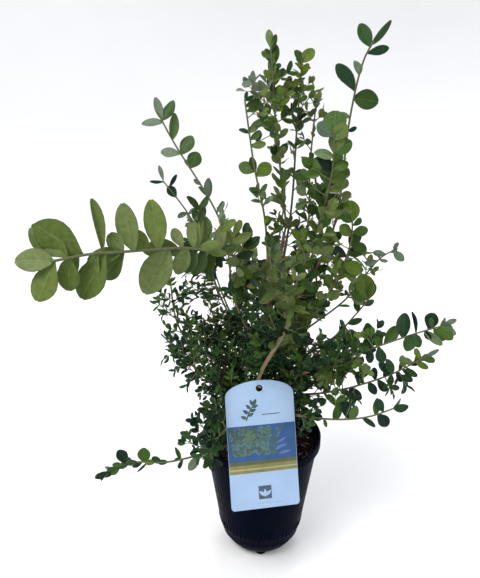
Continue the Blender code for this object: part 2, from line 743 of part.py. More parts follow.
def main():
    clear_scene()
    home = new_collection("potted_boxwood")
    cutters = new_collection("cutters")
    solids = [make_pot(home, cutters), make_soil(home), make_tag(home), make_spur(home)]
    limbs, stems = make_limbs(home, three_sided_section(cutters))
    surfaces = [solid_surface(thing) for thing in solids + limbs]
    crown = Crown(stems, surfaces)
    for name, (stem, _) in stems.items():
        crown.twigs.append(solid_surface(stem)._replace(owner=name))
    units = {"leaf": unit_leaf(4), "big_leaf": unit_leaf(6), "twig": unit_twig()}
    for seed, shoot in enumerate(SHOOTS, start=11):
        stem, run = stems[shoot.name]
        pieces = grow(crown, shoot, run, seed, units)
        join(stem, pieces)
        paint(stem, GREENS.get(shoot.name, COMMON_GREEN), 0.5)


main()
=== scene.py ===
"""Looks of the young potted boxwood: bark, leaves, nursery pot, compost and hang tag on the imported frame.

The frame's own axes: +Z up, -Y the plant's front. Tables and makers are in millimetres, meshes in metres.
The limbs follow the same ways as the solids, and every leaf and finer twig grows on from them.
"""

import math
import random
from collections import namedtuple

import bmesh
import bpy
import numpy as np
from mathutils import Matrix, Vector, noise
from mathutils.bvhtree import BVHTree
from mathutils.geometry import interpolate_bezier


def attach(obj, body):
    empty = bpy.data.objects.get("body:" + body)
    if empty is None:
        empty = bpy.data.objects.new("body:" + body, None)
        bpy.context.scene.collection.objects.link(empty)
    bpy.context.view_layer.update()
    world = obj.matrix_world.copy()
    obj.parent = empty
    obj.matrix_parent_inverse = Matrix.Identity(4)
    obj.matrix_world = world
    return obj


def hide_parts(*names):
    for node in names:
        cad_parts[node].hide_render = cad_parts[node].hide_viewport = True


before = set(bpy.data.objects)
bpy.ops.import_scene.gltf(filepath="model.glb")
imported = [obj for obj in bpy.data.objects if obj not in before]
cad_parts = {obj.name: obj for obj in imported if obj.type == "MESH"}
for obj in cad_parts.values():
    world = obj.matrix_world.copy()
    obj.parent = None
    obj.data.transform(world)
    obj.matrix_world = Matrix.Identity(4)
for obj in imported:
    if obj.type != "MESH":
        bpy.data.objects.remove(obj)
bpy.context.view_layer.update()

MM = 0.001
GAP = 0.3  # between one limb and the next, and under the trunk
RIGHT = Vector((1.0, 0.0, 0.0))
UP = Vector((0.0, 0.0, 1.0))
FRONT = Vector((0.0, -1.0, 0.0))
BODY = "root"
BEZIER_STEPS = 24  # points of a smooth curve from one given point to the next

# ---- Pot: (radius, height) along its turned profile. An arc is its middle, radius, first and last
# angle, and how many points it has. ----
POT_INSIDE = ((20, 1.8), (24.3, 2.8), (30, 7), (35.3, 14.7), (39.7, 28.4), (52.5, 113.2), (54.6, 114.6),
              (55, 116), (55.3, 122.5))
RIM_TOP = ((56.1, 123.1), 0.9, 150, 0, 8)
RIM_BAND = ((57, 119), (57, 116.2))
RIM_LIP = ((56.1, 115.7), 0.9, 0, -90, 5)
RIM_UNDER = (54.2, 114.6)
POT_WALL = ((53.8, 113.6), (41, 28))
POT_FOOT = ((41, 28), (36.5, 14), (31, 6), (25, 1.5), (20, 0))
WALL_RINGS = 24
FOOT_RINGS = 46
POT_TURNS = 288
WALL_RIBS = 72  # fine drawn ribs down the wall
WALL_RIB_SPAN = (30, 112, 3)  # from, to, and how far they fade in and out
WALL_RIB_HEIGHT = 0.16
GRIP_RIBS = 60
GRIP_BANDS = ((25, 34, 1.2), (14.5, 20.5, 1.2))  # the two rows of short ribs near the foot
GRIP_RIB_HEIGHT = 0.85
DRAIN_HOLES = 6
DRAIN_RADIUS = 2.4
DRAIN_DEPTH = 8.0
DRAIN_MIDDLE = (33.2, 10.4)
DRAIN_TILT = math.radians(125)
FEET = 4
FOOT_MIDDLE = 22.5
FOOT_PROFILE_TOP = (5.5, 1.7)
FOOT_EDGE = ((4.8, 0.7), 0.7, 0, -90, 6)
FOOT_TURNS = 32

# ---- Compost ----
SOIL_TOP = 112.0
SOIL_RADIUS = 51.6
SOIL_RINGS = 44
SOIL_SIDE = ((51.6, 110.4), (39.3, 28.5), (34.9, 14.9), (29.7, 7.3), (24.1, 3.2), (19.8, 2.15))
SOIL_DISH = 1.0  # the bed lies this far below its top, apart from the edge, the lumps and the mound
SOIL_EDGE = 3.0
# Its two layers of noise: place, waves, roughness, octaves, height
SOIL_ROUGH = ((3.0, 0.09, 1.0, 4, 1.1), (9.0, 0.45, 0.9, 3, 0.55))
SOIL_MOUND = 1.2  # drawn up round the trunk
SOIL_MOUND_RADIUS = 9.0
BITS = (  # kind, how many, length, width and height of the largest, lumps
    ("bark", 230, (8.0, 3.4, 2.2), 0.5),
    ("crumb", 420, (3.0, 2.4, 2.0), 0.8),
    ("perlite", 26, (2.2, 2.0, 1.8), 0.6),
)
BITS_SEED = 5
BITS_REACH = SOIL_RADIUS - 4.0
BITS_SIZES = (0.4, 1.0)  # of the largest
BITS_LIFT = 0.18  # of their height

# ---- Hang tag ----
TAG_WIDTH = 61.0
TAG_SIDE = 99.0
TAG_ARCH = 13.0
TAG_TOP = TAG_SIDE + TAG_ARCH
TAG_THICK = 0.5
TAG_CORNER = 3.0
TAG_HOLE_RADIUS = 3.0
TAG_HOLE_HEIGHT = 105.0
TAG_FOOT = (2.1, -70.1, 92.4)
TAG_LEAN = math.radians(20)
TAG_TURN = math.radians(10)
TAG_BEND = 0.55  # the tag bows back this far at its sides
TAG_BEND_START = 30.0  # the bow is full from this height up
TAG_CELL = 3.0  # the plate is cut into cells this large, so that it can bow
TAG_UP = Vector((0.0, 1.0, 0.0))  # up it, in its own plane
TAG_SEEN_FROM = Vector((-0.04, -0.81, 0.59))  # nothing grows between the tag and a viewer this way
TAG_CLEAR = 2.0
SPUR_RADIUS = 1.1
SPUR_LIFT = 1.5
SPUR_BACK = 5.5
SPUR_FRONT = 6.0
SPUR_ROOT = 1.2
SPUR_RINGS = 18
SPUR_SHARES = (0.0, 0.35, 0.7, 1.0)

# ---- What is printed on the tag: boxes are left, low, right, high; leaves are a base and an angle ----
PRINT_LIFT = 0.03  # each layer of print lies this far above the one below
PRINT_THICK = 0.05
PICTURE = (-30.2, 41.6, 30.2, 73.0)
PALE_LEAVES = (((9, 50.6), 14, 14), ((14, 46.6), 8, 12), ((12, 55.6), 24, 11))  # the last is their length
SPRAYS = 22  # printed sprays of leaves, from the picture's left side to past its middle
SPRAY_SEED = 41
SPRAY_SPAN = 36.0
SPRAY_KINDS = ("shade", "leaf", "mist", "leaf", "shade", "lime")
SPRAY_STEP = 2.9
SPRAY_OPEN = 48.0
EDGE = 0.5  # printed leaves keep this far inside the picture
BANDS = (("moss", 38.8, 42.2), ("gold", 35.6, 38.8), ("straw", 34.3, 35.6), ("gold", 31.6, 34.3))
SPRIG_STALK = ((-13.6, 77.6), (-12.6, 77.2), (-9.4, 84.6), (-5.6, 90.8), (-6.2, 91.3), (-10.4, 85.2))
SPRIG_LEAVES = (((-12.4, 79.4), 158), ((-11.4, 81.4), 22), ((-10.8, 83.6), 146), ((-9.2, 85.4), 14),
                ((-8.6, 87.4), 134), ((-7.2, 88.6), 20), ((-6.2, 90.4), 118), ((-6.0, 90.8), 62))
RULES = (("grey", (1.0, 81.4, 17.0, 82.2)), ("faint", (-8.0, 4.2, 15.0, 4.7)),
         ("grey", (-5.8, 8.0, 5.8, 19.6)))
SQUARE_LEAVES = (((0, 9.8), 90), ((0, 10.8), 142), ((0, 10.8), 38))
PRINTS = {  # material, its two near tones, and how fast one drifts to the other in waves a metre
    "blank": ("tag_white_plastic", (0.262, 0.38, 0.56), (0.3, 0.418, 0.59), 30),
    "sky": ("print_blue", (0.004, 0.05, 0.142), (0.011, 0.066, 0.205), 60),
    "pale": ("print_pale_blue", (0.06, 0.105, 0.26), (0.09, 0.14, 0.32), 120),
    "shade": ("print_leaf_shade", (0.018, 0.045, 0.036), (0.034, 0.07, 0.052), 200),
    "leaf": ("print_leaf_green", (0.024, 0.07, 0.062), (0.042, 0.096, 0.084), 200),
    "mist": ("print_leaf_mist", (0.046, 0.106, 0.12), (0.066, 0.134, 0.142), 200),
    "lime": ("print_leaf_lime", (0.05, 0.108, 0.046), (0.074, 0.136, 0.06), 200),
    "gold": ("print_gold", (0.14, 0.126, 0.034), (0.19, 0.172, 0.056), 90),
    "straw": ("print_straw", (0.24, 0.262, 0.125), (0.29, 0.31, 0.155), 90),
    "moss": ("print_moss", (0.04, 0.056, 0.026), (0.072, 0.086, 0.036), 60),
    "ink": ("print_ink", (0.02, 0.05, 0.046), (0.036, 0.075, 0.064), 200),
    "grey": ("print_grey", (0.03, 0.056, 0.096), (0.046, 0.076, 0.12), 200),
    "faint": ("print_faint", (0.2, 0.29, 0.44), (0.22, 0.31, 0.46), 200),
}

# ---- Trunk and shoots, as in the solids ----
TRUNK_FOOT_STEPS = (0.0, 1.5, 4.0, 8.0)
TRUNK_START = 14.0
TRUNK_WAY = ((0, 0, 150), (1, 1, 190), (4, 0, 225), (8, 0, 262), (17, 0, 320))
TRUNK_RADIUS = 3.5
TRUNK_TIP_RADIUS = 1.5
TRUNK_SUNK = 2.5  # how far its bark goes down into the compost
FLARE_RADIUS = 6.2
FLARE_HEIGHT = 7.0
BOUGH_RADIUS = 1.7
BOUGH_TIP_RADIUS = 1.15
NEAR_BOUGH_RADIUS = 2.1
BOUGH_SUNK = 1.8  # how far its bark goes into the trunk's
STEM_RADIUS = 1.0
STEM_TIP_RADIUS = 0.66
STEM_SUNK = 1.5
WAY_POINTS = 60

Shoot = namedtuple("Shoot", "name root way cuts reach")
NEAR = "near_arch"
TOP = "the trunk's tip"
SHOOTS = [Shoot(*row) for row in (
    ("near_arch", 138, ((-6, -26, 186), (-5, -28, 200), (-1, -39, 213), (16, -92, 288), (-15, -140, 339),
     (-48, -180, 360), (-80, -217, 369), (-114, -240, 376)), (0.36, 0.48), 25),
    ("leader", TOP, ((7, -10, 416), (1, -20, 480)), (), 17),
    ("top_right", 262, ((23, 12, 335), (26, 8, 414), (28, 0, 470)), (0.25,), 17),
    ("top_left", 246, ((0, -22, 334), (-10, -30, 384), (-19, -38, 444)), (0.3,), 17),
    ("tall_right", 224, ((54, -15, 320), (60, -45, 425), (66, -60, 465), (79, -68, 483)), (0.3,), 24),
    ("column_front", 214, ((37, -42, 327), (46, -60, 384), (44, -70, 427)), (0.35,), 21),
    ("column_back", 231, ((39, 30, 307), (41, 35, 378), (45, 35, 441)), (0.28,), 17),
    ("column_right", 202, ((51, -25, 270), (68, -32, 320), (67, -35, 353)), (0.3,), 18),
    ("left_tall", 208, ((-25, -8, 263), (-36, -12, 332), (-75, -12, 402), (-90, -15, 433)), (0.28,), 17),
    ("left_back", 192, ((-38, 35, 247), (-63, 50, 316), (-97, 50, 366)), (0.28,), 15),
    ("left_fine", 172, ((-43, -20, 211), (-72, -25, 242), (-80, -25, 297)), (0.3,), 16),
    ("left_spray", 160, ((-43, -30, 192), (-72, -35, 226), (-95, -35, 251)), (0.3,), 16),
    ("left_low", 127, ((-41, -37, 130), (-84, -45, 122), (-121, -40, 117), (-154, -35, 97)), (0.36,), 15),
    ("left_front", 133, ((-31, -48, 160), (-45, -62, 148), (-48, -68, 128)), (0.38,), 17),
    ("right_back", 195, ((40, 30, 216), (80, 38, 246), (111, 42, 286), (134, 42, 299)), (0.28,), 17),
    ("right_mid", 184, ((61, -5, 224), (81, -8, 249), (99, -8, 275)), (0.3,), 17),
    ("right_long", 174, ((64, -40, 221), (115, -60, 253), (151, -62, 266)), (0.28,), 19),
    ("right_lower", 163, ((61, -20, 179), (112, -25, 199), (150, -25, 223)), (0.3,), 18),
    ("right_low", 151, ((48, -50, 170), (83, -66, 181), (116, -70, 197)), (0.33,), 17),
    ("back_left", 200, ((-30, 45, 230), (-48, 72, 268), (-62, 85, 305)), (0.3,), 19),
    ("back_high", 236, ((14, 45, 290), (20, 58, 330), (22, 62, 365)), (0.28,), 19),
    ("back_middle", 180, ((10, 60, 225), (10, 88, 255), (8, 110, 290)), (0.3,), 19),
    ("back_right", 189, ((40, 55, 225), (62, 78, 255), (78, 92, 290)), (0.3,), 19),
    ("back_low_left", 158, ((-40, 38, 170), (-62, 52, 186), (-80, 64, 208)), (0.3,), 19),
    ("back_low_right", 154, ((45, 40, 172), (68, 56, 188), (90, 70, 212)), (0.3,), 19),
    ("inner_left", 168, ((-26, 4, 200), (-44, 12, 240)), (), 19),
    ("inner_front", 196, ((4, -26, 222), (0, -42, 262)), (), 19),
    ("inner_right", 206, ((28, 8, 236), (40, 6, 276)), (), 19),
    ("inner_low_right", 140, ((20, -12, 160), (34, -20, 200)), (), 19),
    ("inner_low_left", 147, ((-20, -20, 168), (-26, -34, 202)), (), 19),
)]
# ---- How each shoot is clothed. leaf: length of a leaf, and width as a share of it. opening: degrees
# between leaf and stem. step: between pairs of leaves. side: length of its longest side twigs.
# every: side twigs stand at every such node. tuft: share of leaves with a tuft of young ones in the
# axil. bare: share of its bough that bears nothing. ----
Habit = namedtuple("Habit", "group leaf width opening step side every tuft bare tones seed")
BACK = ("back", 13, 0.56, 54, 9.5, 24, 2, 0.4, 0.3, "dark")
HABIT_ROWS = {
    "near_arch": ("near", 15, 0.46, 48, 9, 19, 2, 0.6, 0.62, "arch"),
    "leader": ("top", 13, 0.52, 42, 10.5, 17, 2, 0.7, 0, "mid"),
    "top_right": ("top", 12, 0.52, 42, 11, 15, 2, 0.6, 0.3, "mid"),
    "top_left": ("top", 11, 0.52, 48, 14, 15, 2, 0.4, 0.4, "pale"),
    "tall_right": ("column", 16, 0.54, 38, 15, 16, 2, 0.2, 0.4, "mid"),
    "column_front": ("column", 16, 0.62, 50, 10, 18, 2, 0.4, 0.3, "mid"),
    "column_back": ("column", 12, 0.54, 45, 11, 17, 2, 0.5, 0.3, "mid"),
    "column_right": ("column", 14, 0.58, 48, 9.5, 18, 2, 0.5, 0.3, "mid"),
    "left_tall": ("left", 13, 0.42, 45, 14, 22, 2, 0.3, 0.2, "grey"),
    "left_back": ("left", 13, 0.38, 50, 13, 20, 2, 0.3, 0.3, "grey"),
    "left_fine": ("left", 10, 0.42, 52, 7.5, 22, 2, 0.3, 0.3, "dark"),
    "left_spray": ("left", 10, 0.42, 52, 7.5, 24, 2, 0.3, 0.3, "dark"),
    "left_low": ("left", 12, 0.55, 52, 13, 9, 3, 0, 0.4, "dark"),
    "left_front": ("left", 12, 0.54, 55, 7, 22, 2, 0.6, 0.2, "dark"),
    "right_back": ("right", 13, 0.44, 44, 10, 18, 3, 0.4, 0.3, "mid"),
    "right_mid": ("right", 13, 0.56, 50, 9.5, 19, 2, 0.5, 0.3, "dark"),
    "right_long": ("right", 13, 0.58, 50, 8.5, 21, 2, 0.5, 0.3, "dark"),
    "right_lower": ("right", 12, 0.58, 52, 9.5, 19, 2, 0.4, 0.3, "dark"),
    "right_low": ("right", 12, 0.58, 52, 9.5, 18, 2, 0.4, 0.36, "dark"),
    "back_left": BACK,
    "back_high": ("back", 10, 0.5, 46, 15, 13, 3, 0.3, 0.3, "mid"),
    "back_middle": BACK,
    "back_right": BACK,
    "back_low_left": BACK,
    "back_low_right": BACK,
    # The inner shoots take dark and olive tones, which hold painted shade deep in the crown.
    "inner_left": ("inner", 10, 0.45, 52, 7, 30, 1, 0.5, 0, "olive"),
    "inner_front": ("inner", 9, 0.48, 52, 6.5, 25, 1, 0.5, 0, "dark"),
    "inner_right": ("inner", 10, 0.48, 52, 7, 27, 1, 0.5, 0, "dark"),
    "inner_low_right": ("inner", 10, 0.48, 52, 7, 27, 1, 0.5, 0, "dark"),
    "inner_low_left": ("inner", 10, 0.45, 52, 7, 27, 1, 0.5, 0, "olive"),
}
FIRST_SEED = 11
HABITS = {name: Habit(*row, seed) for seed, (name, row) in enumerate(HABIT_ROWS.items(), start=FIRST_SEED)}
SPROUT = Habit("inner", 10, 0.46, 52, 7, 34, 1, 0.5, 0, "dark", 41)
SPROUTS = 30  # short leafy twigs straight from the trunk
SPROUT_HEIGHTS = (138.0, 312.0)
GROUP_SLOTS = {
    "near": "foliage_fresh", "top": "foliage_green", "column": "foliage_green", "left": "foliage_green",
    "right": "foliage_dark", "back": "foliage_dark", "inner": "foliage_dark",
}

# ---- Leaves that stand alone against the light, held as the viewer in front sees them. back: from
# the stem's tip. heading: degrees, 0 to the right and 90 up. width: share of the length. roll: turn
# about its midrib, 0 facing the viewer. toward: how far it leans to the viewer. tones: its colours,
# where they aren't those of its shoot. ----
Held = namedtuple("Held", "back heading length width roll toward tones", defaults=(20, 0, ""))
HELD = {
    "near_arch": ("fresh", (
        (15, 147, 26, 0.62, -8, 15), (8, 143, 25.5, 0.56, 8, -14), (0.8, 177, 18, 0.66, 14, 6),
        (1.4, 246, 20.5, 0.66, 12, 6), (8.6, 262, 16.5, 0.74, 8, -8), (13, 228, 14, 0.62, -16, -14),
        (26, 243, 25, 0.62, 6, 8), (22, 246, 14, 0.66, 20, -12, "arch"),
        (25, 103, 28, 0.2, 34, -6, "arch"), (36.5, 226, 18, 0.74, 16, -10), (42.5, 104, 25, 0.48, -16, 2),
        (36, 128, 12, 0.7, 6, 4), (52, 140, 15, 0.7, 6, 6), (59, 98, 27, 0.45, 12),
        (66, 243, 27.5, 0.6, -10, 6), (73, 186, 19, 0.6, 8, 16), (35, 194, 17, 0.5, 8, 18),
        (80, 250, 16, 0.6, -20, -6), (77, 118, 13, 0.5, 16, -14, "arch"), (88, 82, 22, 0.34, 24, -8),
        (88, 244, 15, 0.56, 14, 8, "arch"), (92, 172, 13, 0.5, -8, 20, "arch"),
        (99, 102, 16, 0.4, 20, -6, "arch"), (106, 78, 17, 0.42, 10, 4, "arch"), (86, 96, 15, 0.4, 16, 10),
        (90, 14, 13, 0.46, 20, 12, "arch"), (83, 196, 12, 0.46, 16, 18, "arch"),
        (97, 350, 12, 0.46, 16, 16, "arch"), (94, 252, 15, 0.52, 16, -6, "arch"),
        (102, 258, 13, 0.5, 10, 0, "olive"), (112, 92, 15, 0.4, 20, 0, "arch"),
        (119, 70, 15, 0.42, 14, 8, "arch"), (108, 20, 11, 0.46, 14, 24, "arch"),
        (115, 186, 11, 0.46, 10, 30, "arch"), (124, 10, 12, 0.46, 20, 24, "olive"),
        (104, 292, 11, 0.5, 16, 16, "olive"),
    )),
    "leader": ("mid", (
        (0.4, 95, 14.5, 0.42, 10, 4), (2, 68, 13.5, 0.38, 30), (7, 150, 9, 0.58, 20, 6, "dark"),
        (15, 82, 18, 0.46, 6, 10), (12, 112, 13, 0.46), (12.5, 66, 12.5, 0.42, 34, 6),
        (16, 30, 8.5, 0.55, 20, 10, "dark"), (20, 96, 14, 0.5, 4, 24), (25, 124, 12, 0.5, 20, 8),
        (28, 72, 14, 0.5, 10, 16), (33, 108, 13, 0.5, 10, 16, "pale"), (37, 60, 12, 0.5, 20, 10),
    )),
    "top_right": ("mid", (
        (0, 118, 11.5, 0.66, 12, 6), (0.2, 50, 14.5, 0.66, -12, 6), (3, 100, 9, 0.4, 40, 10),
    )),
    "top_left": ("pale", (
        (0.4, 72, 7, 0.45, 30, 0, "dark"), (0.8, 24, 8, 0.5, 30, 4, "dark"),
        (5, 20, 12, 0.46, 20, 10, "mid"), (9, 28, 13, 0.5, 30, 0, "mid"), (30, 40, 11, 0.5, 20, 6),
        (35, 8, 12, 0.5, 20, 6, "mid"), (25, 160, 9, 0.55, 20, 8, "dark"), (24.5, 50, 13, 0.5, 24, 6),
        (55, 158, 14, 0.72, 4, 10), (56, 104, 13, 0.5, 20, 10, "mid"), (59, 40, 15, 0.76, 0, 10, "mid"),
    )),
    "tall_right": ("mid", (
        (4, 113, 17.5, 0.54, -10, 0, "dark"), (9, 11, 16, 0.4, 20, 8, "dark"),
        (3, 50, 24, 0.26, 40, -6, "dark"), (36, 119, 24.5, 0.52, 14, 0, "dark"),
        (41, 350, 18, 0.86, -8, 12), (24, 100, 12.5, 0.56, 10, -16, "grey"), (56, 150, 9, 0.5),
        (66, 20, 8, 0.5, 30, 0, "dark"), (72, 166, 11, 0.54, 20, 6), (84, 132, 13, 0.56, 10, 10),
    )),
    "column_front": ("mid", (
        (3, 88, 17, 0.98, 0, 6, "pale"), (3.6, 146, 15, 0.8, 14, 16, "grey"), (6, 52, 13.5, 0.86, 6, 24),
        (15, 26, 14.5, 0.8, 0, 18, "dark"), (16, 80, 15, 0.8, -6, 30), (19, 168, 15, 0.62, 20, 16, "pale"),
        (28, 20, 12.5, 0.72, -10, 12), (30, 140, 16, 0.66, 12, 22, "dark"), (34, 62, 15, 0.7, 0, 16),
        (38, 20, 12.5, 0.72, 0, 10), (42, 104, 16, 0.66, 0, 20, "pale"), (47, 34, 14, 0.7, 0, 12, "fresh"),
    )),
    "column_right": ("mid", (
        (0.4, 96, 17, 0.84, 0, 6), (0.8, 150, 12, 0.66, 16, 10, "dark"), (4, 36, 10, 0.56, 30, 0, "dark"),
        (10, 10, 13, 0.66, 10, 10, "dark"), (13, 140, 14, 0.7, 10, 14), (20, 340, 14, 0.66, 10, 6),
        (21, 60, 15, 0.7, 0, 16), (29, 20, 17, 0.6, 10, 6), (31, 150, 14, 0.66, 10, 20, "dark"),
        (38, 340, 17, 0.7, 0, 8), (46, 16, 19, 0.74, 0, 10), (47, 100, 15, 0.66, 0, 20),
    )),
    "left_tall": ("grey", (
        (7, 105, 19, 0.38, 16), (7.4, 63, 19, 0.52, -10, 0, "pale"), (9, 180, 17.5, 0.46, 16),
        (24, 84, 21.5, 0.4, 20, 4, "pale"), (37.5, 63, 18, 0.66, -6, 0, "pale"), (37, 170, 17, 0.54, 14),
        (50, 62, 14.5, 0.84, 8, 10, "pale"), (49, 120, 8, 0.6, 30), (66, 140, 8, 0.5), (78, 88, 17, 0.42),
        (77, 130, 12, 0.5, 30), (78.4, 220, 8, 0.5, 30), (92, 56, 12, 0.4, 30),
    )),
    "left_back": ("grey", (
        (0.4, 104, 16, 0.3), (0.8, 175, 13.5, 0.24, 20, 0, "dark"), (8, 58, 15, 0.28, 20, 0, "dark"),
        (19, 126, 13, 0.7, 0, 10, "dark"), (37, 200, 11, 0.52), (38, 40, 9, 0.46),
    )),
    "left_low": ("dark", (
        (0.2, 203, 11.5, 0.44, 30, 0, "grey"), (0.8, 236, 8.5, 0.5, 30, 10), (7, 214, 11, 0.46, 30),
        (9, 160, 8, 0.4, 30, 0, "grey"), (15, 196, 11, 0.36), (26, 122, 15.5, 0.7, 6, 4),
        (31, 140, 7.5, 0.6, 20, 4), (43, 93, 13.5, 0.9, -6, 4), (46, 222, 14, 0.15), (50, 40, 6, 0.55, 30),
        (59, 156, 10.5, 0.62, 10), (76.5, 114, 12.5, 0.34), (79, 243, 10.5, 0.38), (70, 30, 6, 0.5, 30),
        (95, 231, 18, 0.46, 10, 10, "grey"), (88, 78, 9, 0.5, 30), (4, 206, 13, 0.46, 20, 6),
        (11, 218, 13, 0.46), (19, 222, 13, 0.44, 10), (21, 176, 10, 0.5, 20, 10), (28, 200, 12, 0.5),
        (36, 184, 11, 0.52, 20, 6), (41, 204, 11, 0.5), (53, 178, 10, 0.56, 20, 6, "mid"),
        (65, 184, 10, 0.5),
    )),
    "right_back": ("grey", (
        (0.2, 58, 9.5, 0.48), (0.8, 318, 14.5, 0.56, 10), (4, 24, 9, 0.44), (8, 170, 12.5, 0.52, 10),
        (15, 116, 9.5, 0.5), (16, 345, 9.5, 0.4), (18, 196, 12, 0.5, 10), (26, 140, 9, 0.5),
        (27, 296, 8.5, 0.5),
    )),
    "right_mid": ("dark", (
        (0.4, 108, 23, 0.78, 0, 6, "mid"), (0.8, 70, 15, 0.6, 16, 6), (2, 140, 16, 0.8, 0, 12, "mid"),
        (6, 148, 15, 0.72, 10, 10, "mid"), (8, 20, 11, 0.56), (16, 98, 11, 0.6, 10), (30, 16, 14, 0.5),
    )),
    "right_long": ("dark", (
        (0.2, 24, 14, 0.36, 30, 0, "grey"), (0.8, 58, 9, 0.5, 20, 6, "grey"),
        (1, 352, 11, 0.56, 20, 6, "pale"), (3, 322, 16, 0.62, 10, 8, "mid"), (10, 70, 14.5, 0.84, 4),
        (13, 300, 9, 0.6, 20, 8), (20, 100, 18, 0.2), (22, 244, 15, 0.7, 10, 10),
        (21, 284, 12, 0.64, 10, 16), (31, 82, 20.5, 0.58, 6), (47, 54, 18.5, 0.56, 6),
        (58, 101, 22, 0.42, 10), (60, 270, 12, 0.6, 16, 10), (6, 312, 14, 0.5, 10),
        (13.5, 322, 19, 0.36, 0, 0, "pale"), (6.5, 100, 9, 0.5), (1.5, 336, 16, 0.5, 10, 0, "grey"),
        (53, 80, 14, 0.6, 10), (66, 60, 15, 0.6, 10, 0, "mid"), (52, 284, 15, 0.6, 10),
    )),
    "right_lower": ("dark", (
        (0.4, 22, 17, 0.32, 20, 0, "grey"), (0.8, 346, 12, 0.56, 20, 6, "pale"),
        (2, 120, 11, 0.54, 20, 0, "mid"), (10, 160, 11, 0.6, 10, 0, "mid"), (9, 62, 9, 0.5, 20, 0, "mid"),
        (17, 320, 13.5, 0.42), (24, 60, 12, 0.4), (30, 108, 14, 0.6, 10), (32, 134, 15, 0.54, 10),
        (31, 262, 11, 0.56, 10), (44, 308, 14, 0.56, 10), (46, 96, 12, 0.56, 10), (57, 120, 13, 0.6, 10),
        (70, 313, 16, 0.6, 10), (5, 20, 13, 0.5, 10, 0, "mid"), (7, 330, 13, 0.46, 10, 0, "mid"),
        (13, 20, 12, 0.46, 0), (21, 334, 13, 0.5, 10), (26, 300, 11, 0.6, 10),
        (18, 104, 12, 0.54, 10, 0, "mid"), (38, 70, 14, 0.54, 10), (52, 300, 13, 0.6, 10),
        (62, 80, 14, 0.56, 10),
    )),
    "right_low": ("dark", (
        (0.2, 6, 13, 0.62, 10), (0.8, 50, 11.5, 0.34, 20, 0, "grey"), (9, 116, 12.5, 0.6, 0),
        (14, 312, 13, 0.78, 0, 6), (16, 82, 14.5, 0.5, 10), (27, 322, 14, 0.34),
        (37, 66, 12.5, 0.66, 0, 6, "pale"), (38, 106, 15.5, 0.55, 0), (52, 70, 17, 0.5, 10),
        (49, 82, 15, 0.5, 10), (61, 286, 8, 0.42, 10),
    )),
}
# ---- Side twigs that grow in a given direction, where the crown is close ----
HeldTwig = namedtuple("HeldTwig", "back heading length toward tones", defaults=(0, ""))
HELD_TWIGS = {
    "near_arch": (
        (91, 92, 20, 0, "olive"), (99, 84, 9, 16), (105, 74, 10, 24), (112, 88, 10), (118, 76, 12, 14),
        (125, 60, 12, 24, "olive"), (123, 276, 14, 0, "olive"), (131, 270, 17, 10, "olive"),
        (139, 262, 19, 0, "olive"), (133, 70, 11, 10, "olive"),
    ),
    "column_front": (
        (31, 36, 13), (37, 150, 16), (44, 28, 16, 10), (51, 146, 18, 0, "pale"), (57, 34, 17, 0, "fresh"),
        (64, 140, 18, 10, "pale"), (70, 30, 18, 0, "fresh"),
    ),
    "column_right": (
        (24, 156, 15), (34, 10, 14), (42, 150, 18, 10, "fresh"), (54, 20, 16),
    ),
    "right_long": (
        (56, 128, 17, 10, "mid"), (63, 118, 22), (72, 108, 22), (60, 70, 17, 10), (88, 60, 18, 10),
        (90, 236, 17, 10, "mid"), (97, 84, 18), (99, 256, 18, 10, "mid"), (70, 288, 15, 10, "mid"),
        (105, 66, 16, 10), (66, 228, 19, 0, "mid"), (80, 100, 20, 10), (84, 250, 20, 0, "mid"),
        (76, 262, 16, 10, "mid"),
    ),
    "right_lower": (
        (45, 104, 13), (56, 112, 16, 10), (66, 120, 20, 0, "mid"), (64, 246, 17), (76, 100, 22, 10),
        (55, 290, 13), (24, 292, 16), (37, 290, 17), (49, 284, 15, 10), (60, 96, 18, 10, "mid"),
        (72, 60, 16, 10, "mid"), (82, 110, 20, 0, "mid"), (88, 84, 20, 10),
    ),
    "right_low": (
        (50, 92, 19), (42, 70, 16, 10), (57, 110, 20),
    ),
    "left_fine": (
        (14, 190, 11), (26, 197, 14), (37, 206, 15, 10), (20, 30, 10), (46, 40, 16),
    ),
    "left_spray": (
        (7, 196, 10), (20, 216, 15), (33, 226, 15, 10), (46, 236, 16), (58, 250, 16),
    ),
    "right_mid": (
        (26, 150, 15), (38, 20, 17, 10), (46, 150, 18), (56, 30, 18), (62, 160, 18, 10), (68, 0, 18),
        (74, 120, 18, 10),
    ),
    "leader": (
        (25, 20, 12, 10), (45, 146, 24, 0, "grey"), (36, 26, 18, -10), (40, 150, 19, 16, "grey"),
        (46, 40, 20, 20), (52, 140, 16, -20), (56, 30, 16), (66, 128, 14),
    ),
    "top_left": (
        (14, 34, 19, 14, "mid"), (21, 20, 16, -10, "dark"), (34, 24, 16),
    ),
    "top_right": (
        (27, 50, 12, 10), (31, 140, 12, -10), (37, 46, 18), (43, 142, 14, 10), (50, 40, 15, -20),
    ),
    "left_front": (
        (30, 112, 26, 10), (34, 146, 27), (22, 96, 27, 20), (14, 128, 26, 10), (8, 168, 22),
        (40, 128, 22, -20),
    ),
    "inner_left": (
        (2, 120, 24), (6, 156, 26, 10), (10, 92, 24, 20), (16, 170, 26),
    ),
    "left_back": (
        (84, 200, 22, 10, "dark"), (96, 190, 24, 0, "dark"), (104, 40, 22, 0, "olive"),
        (112, 200, 26, 20, "olive"), (120, 186, 28, 0, "dark"), (66, 196, 16, 0, "dark"),
    ),
}
# Colours of the older leaves near a shoot's root, darker from their age and from painted shade deep in the
# crown, and how far they reach, as a share of the leafy run
OLDER_AND_SHADED = {"grey": ("dark", 0.45), "pale": ("mid", 0.45), "arch": ("olive", 0.18)}
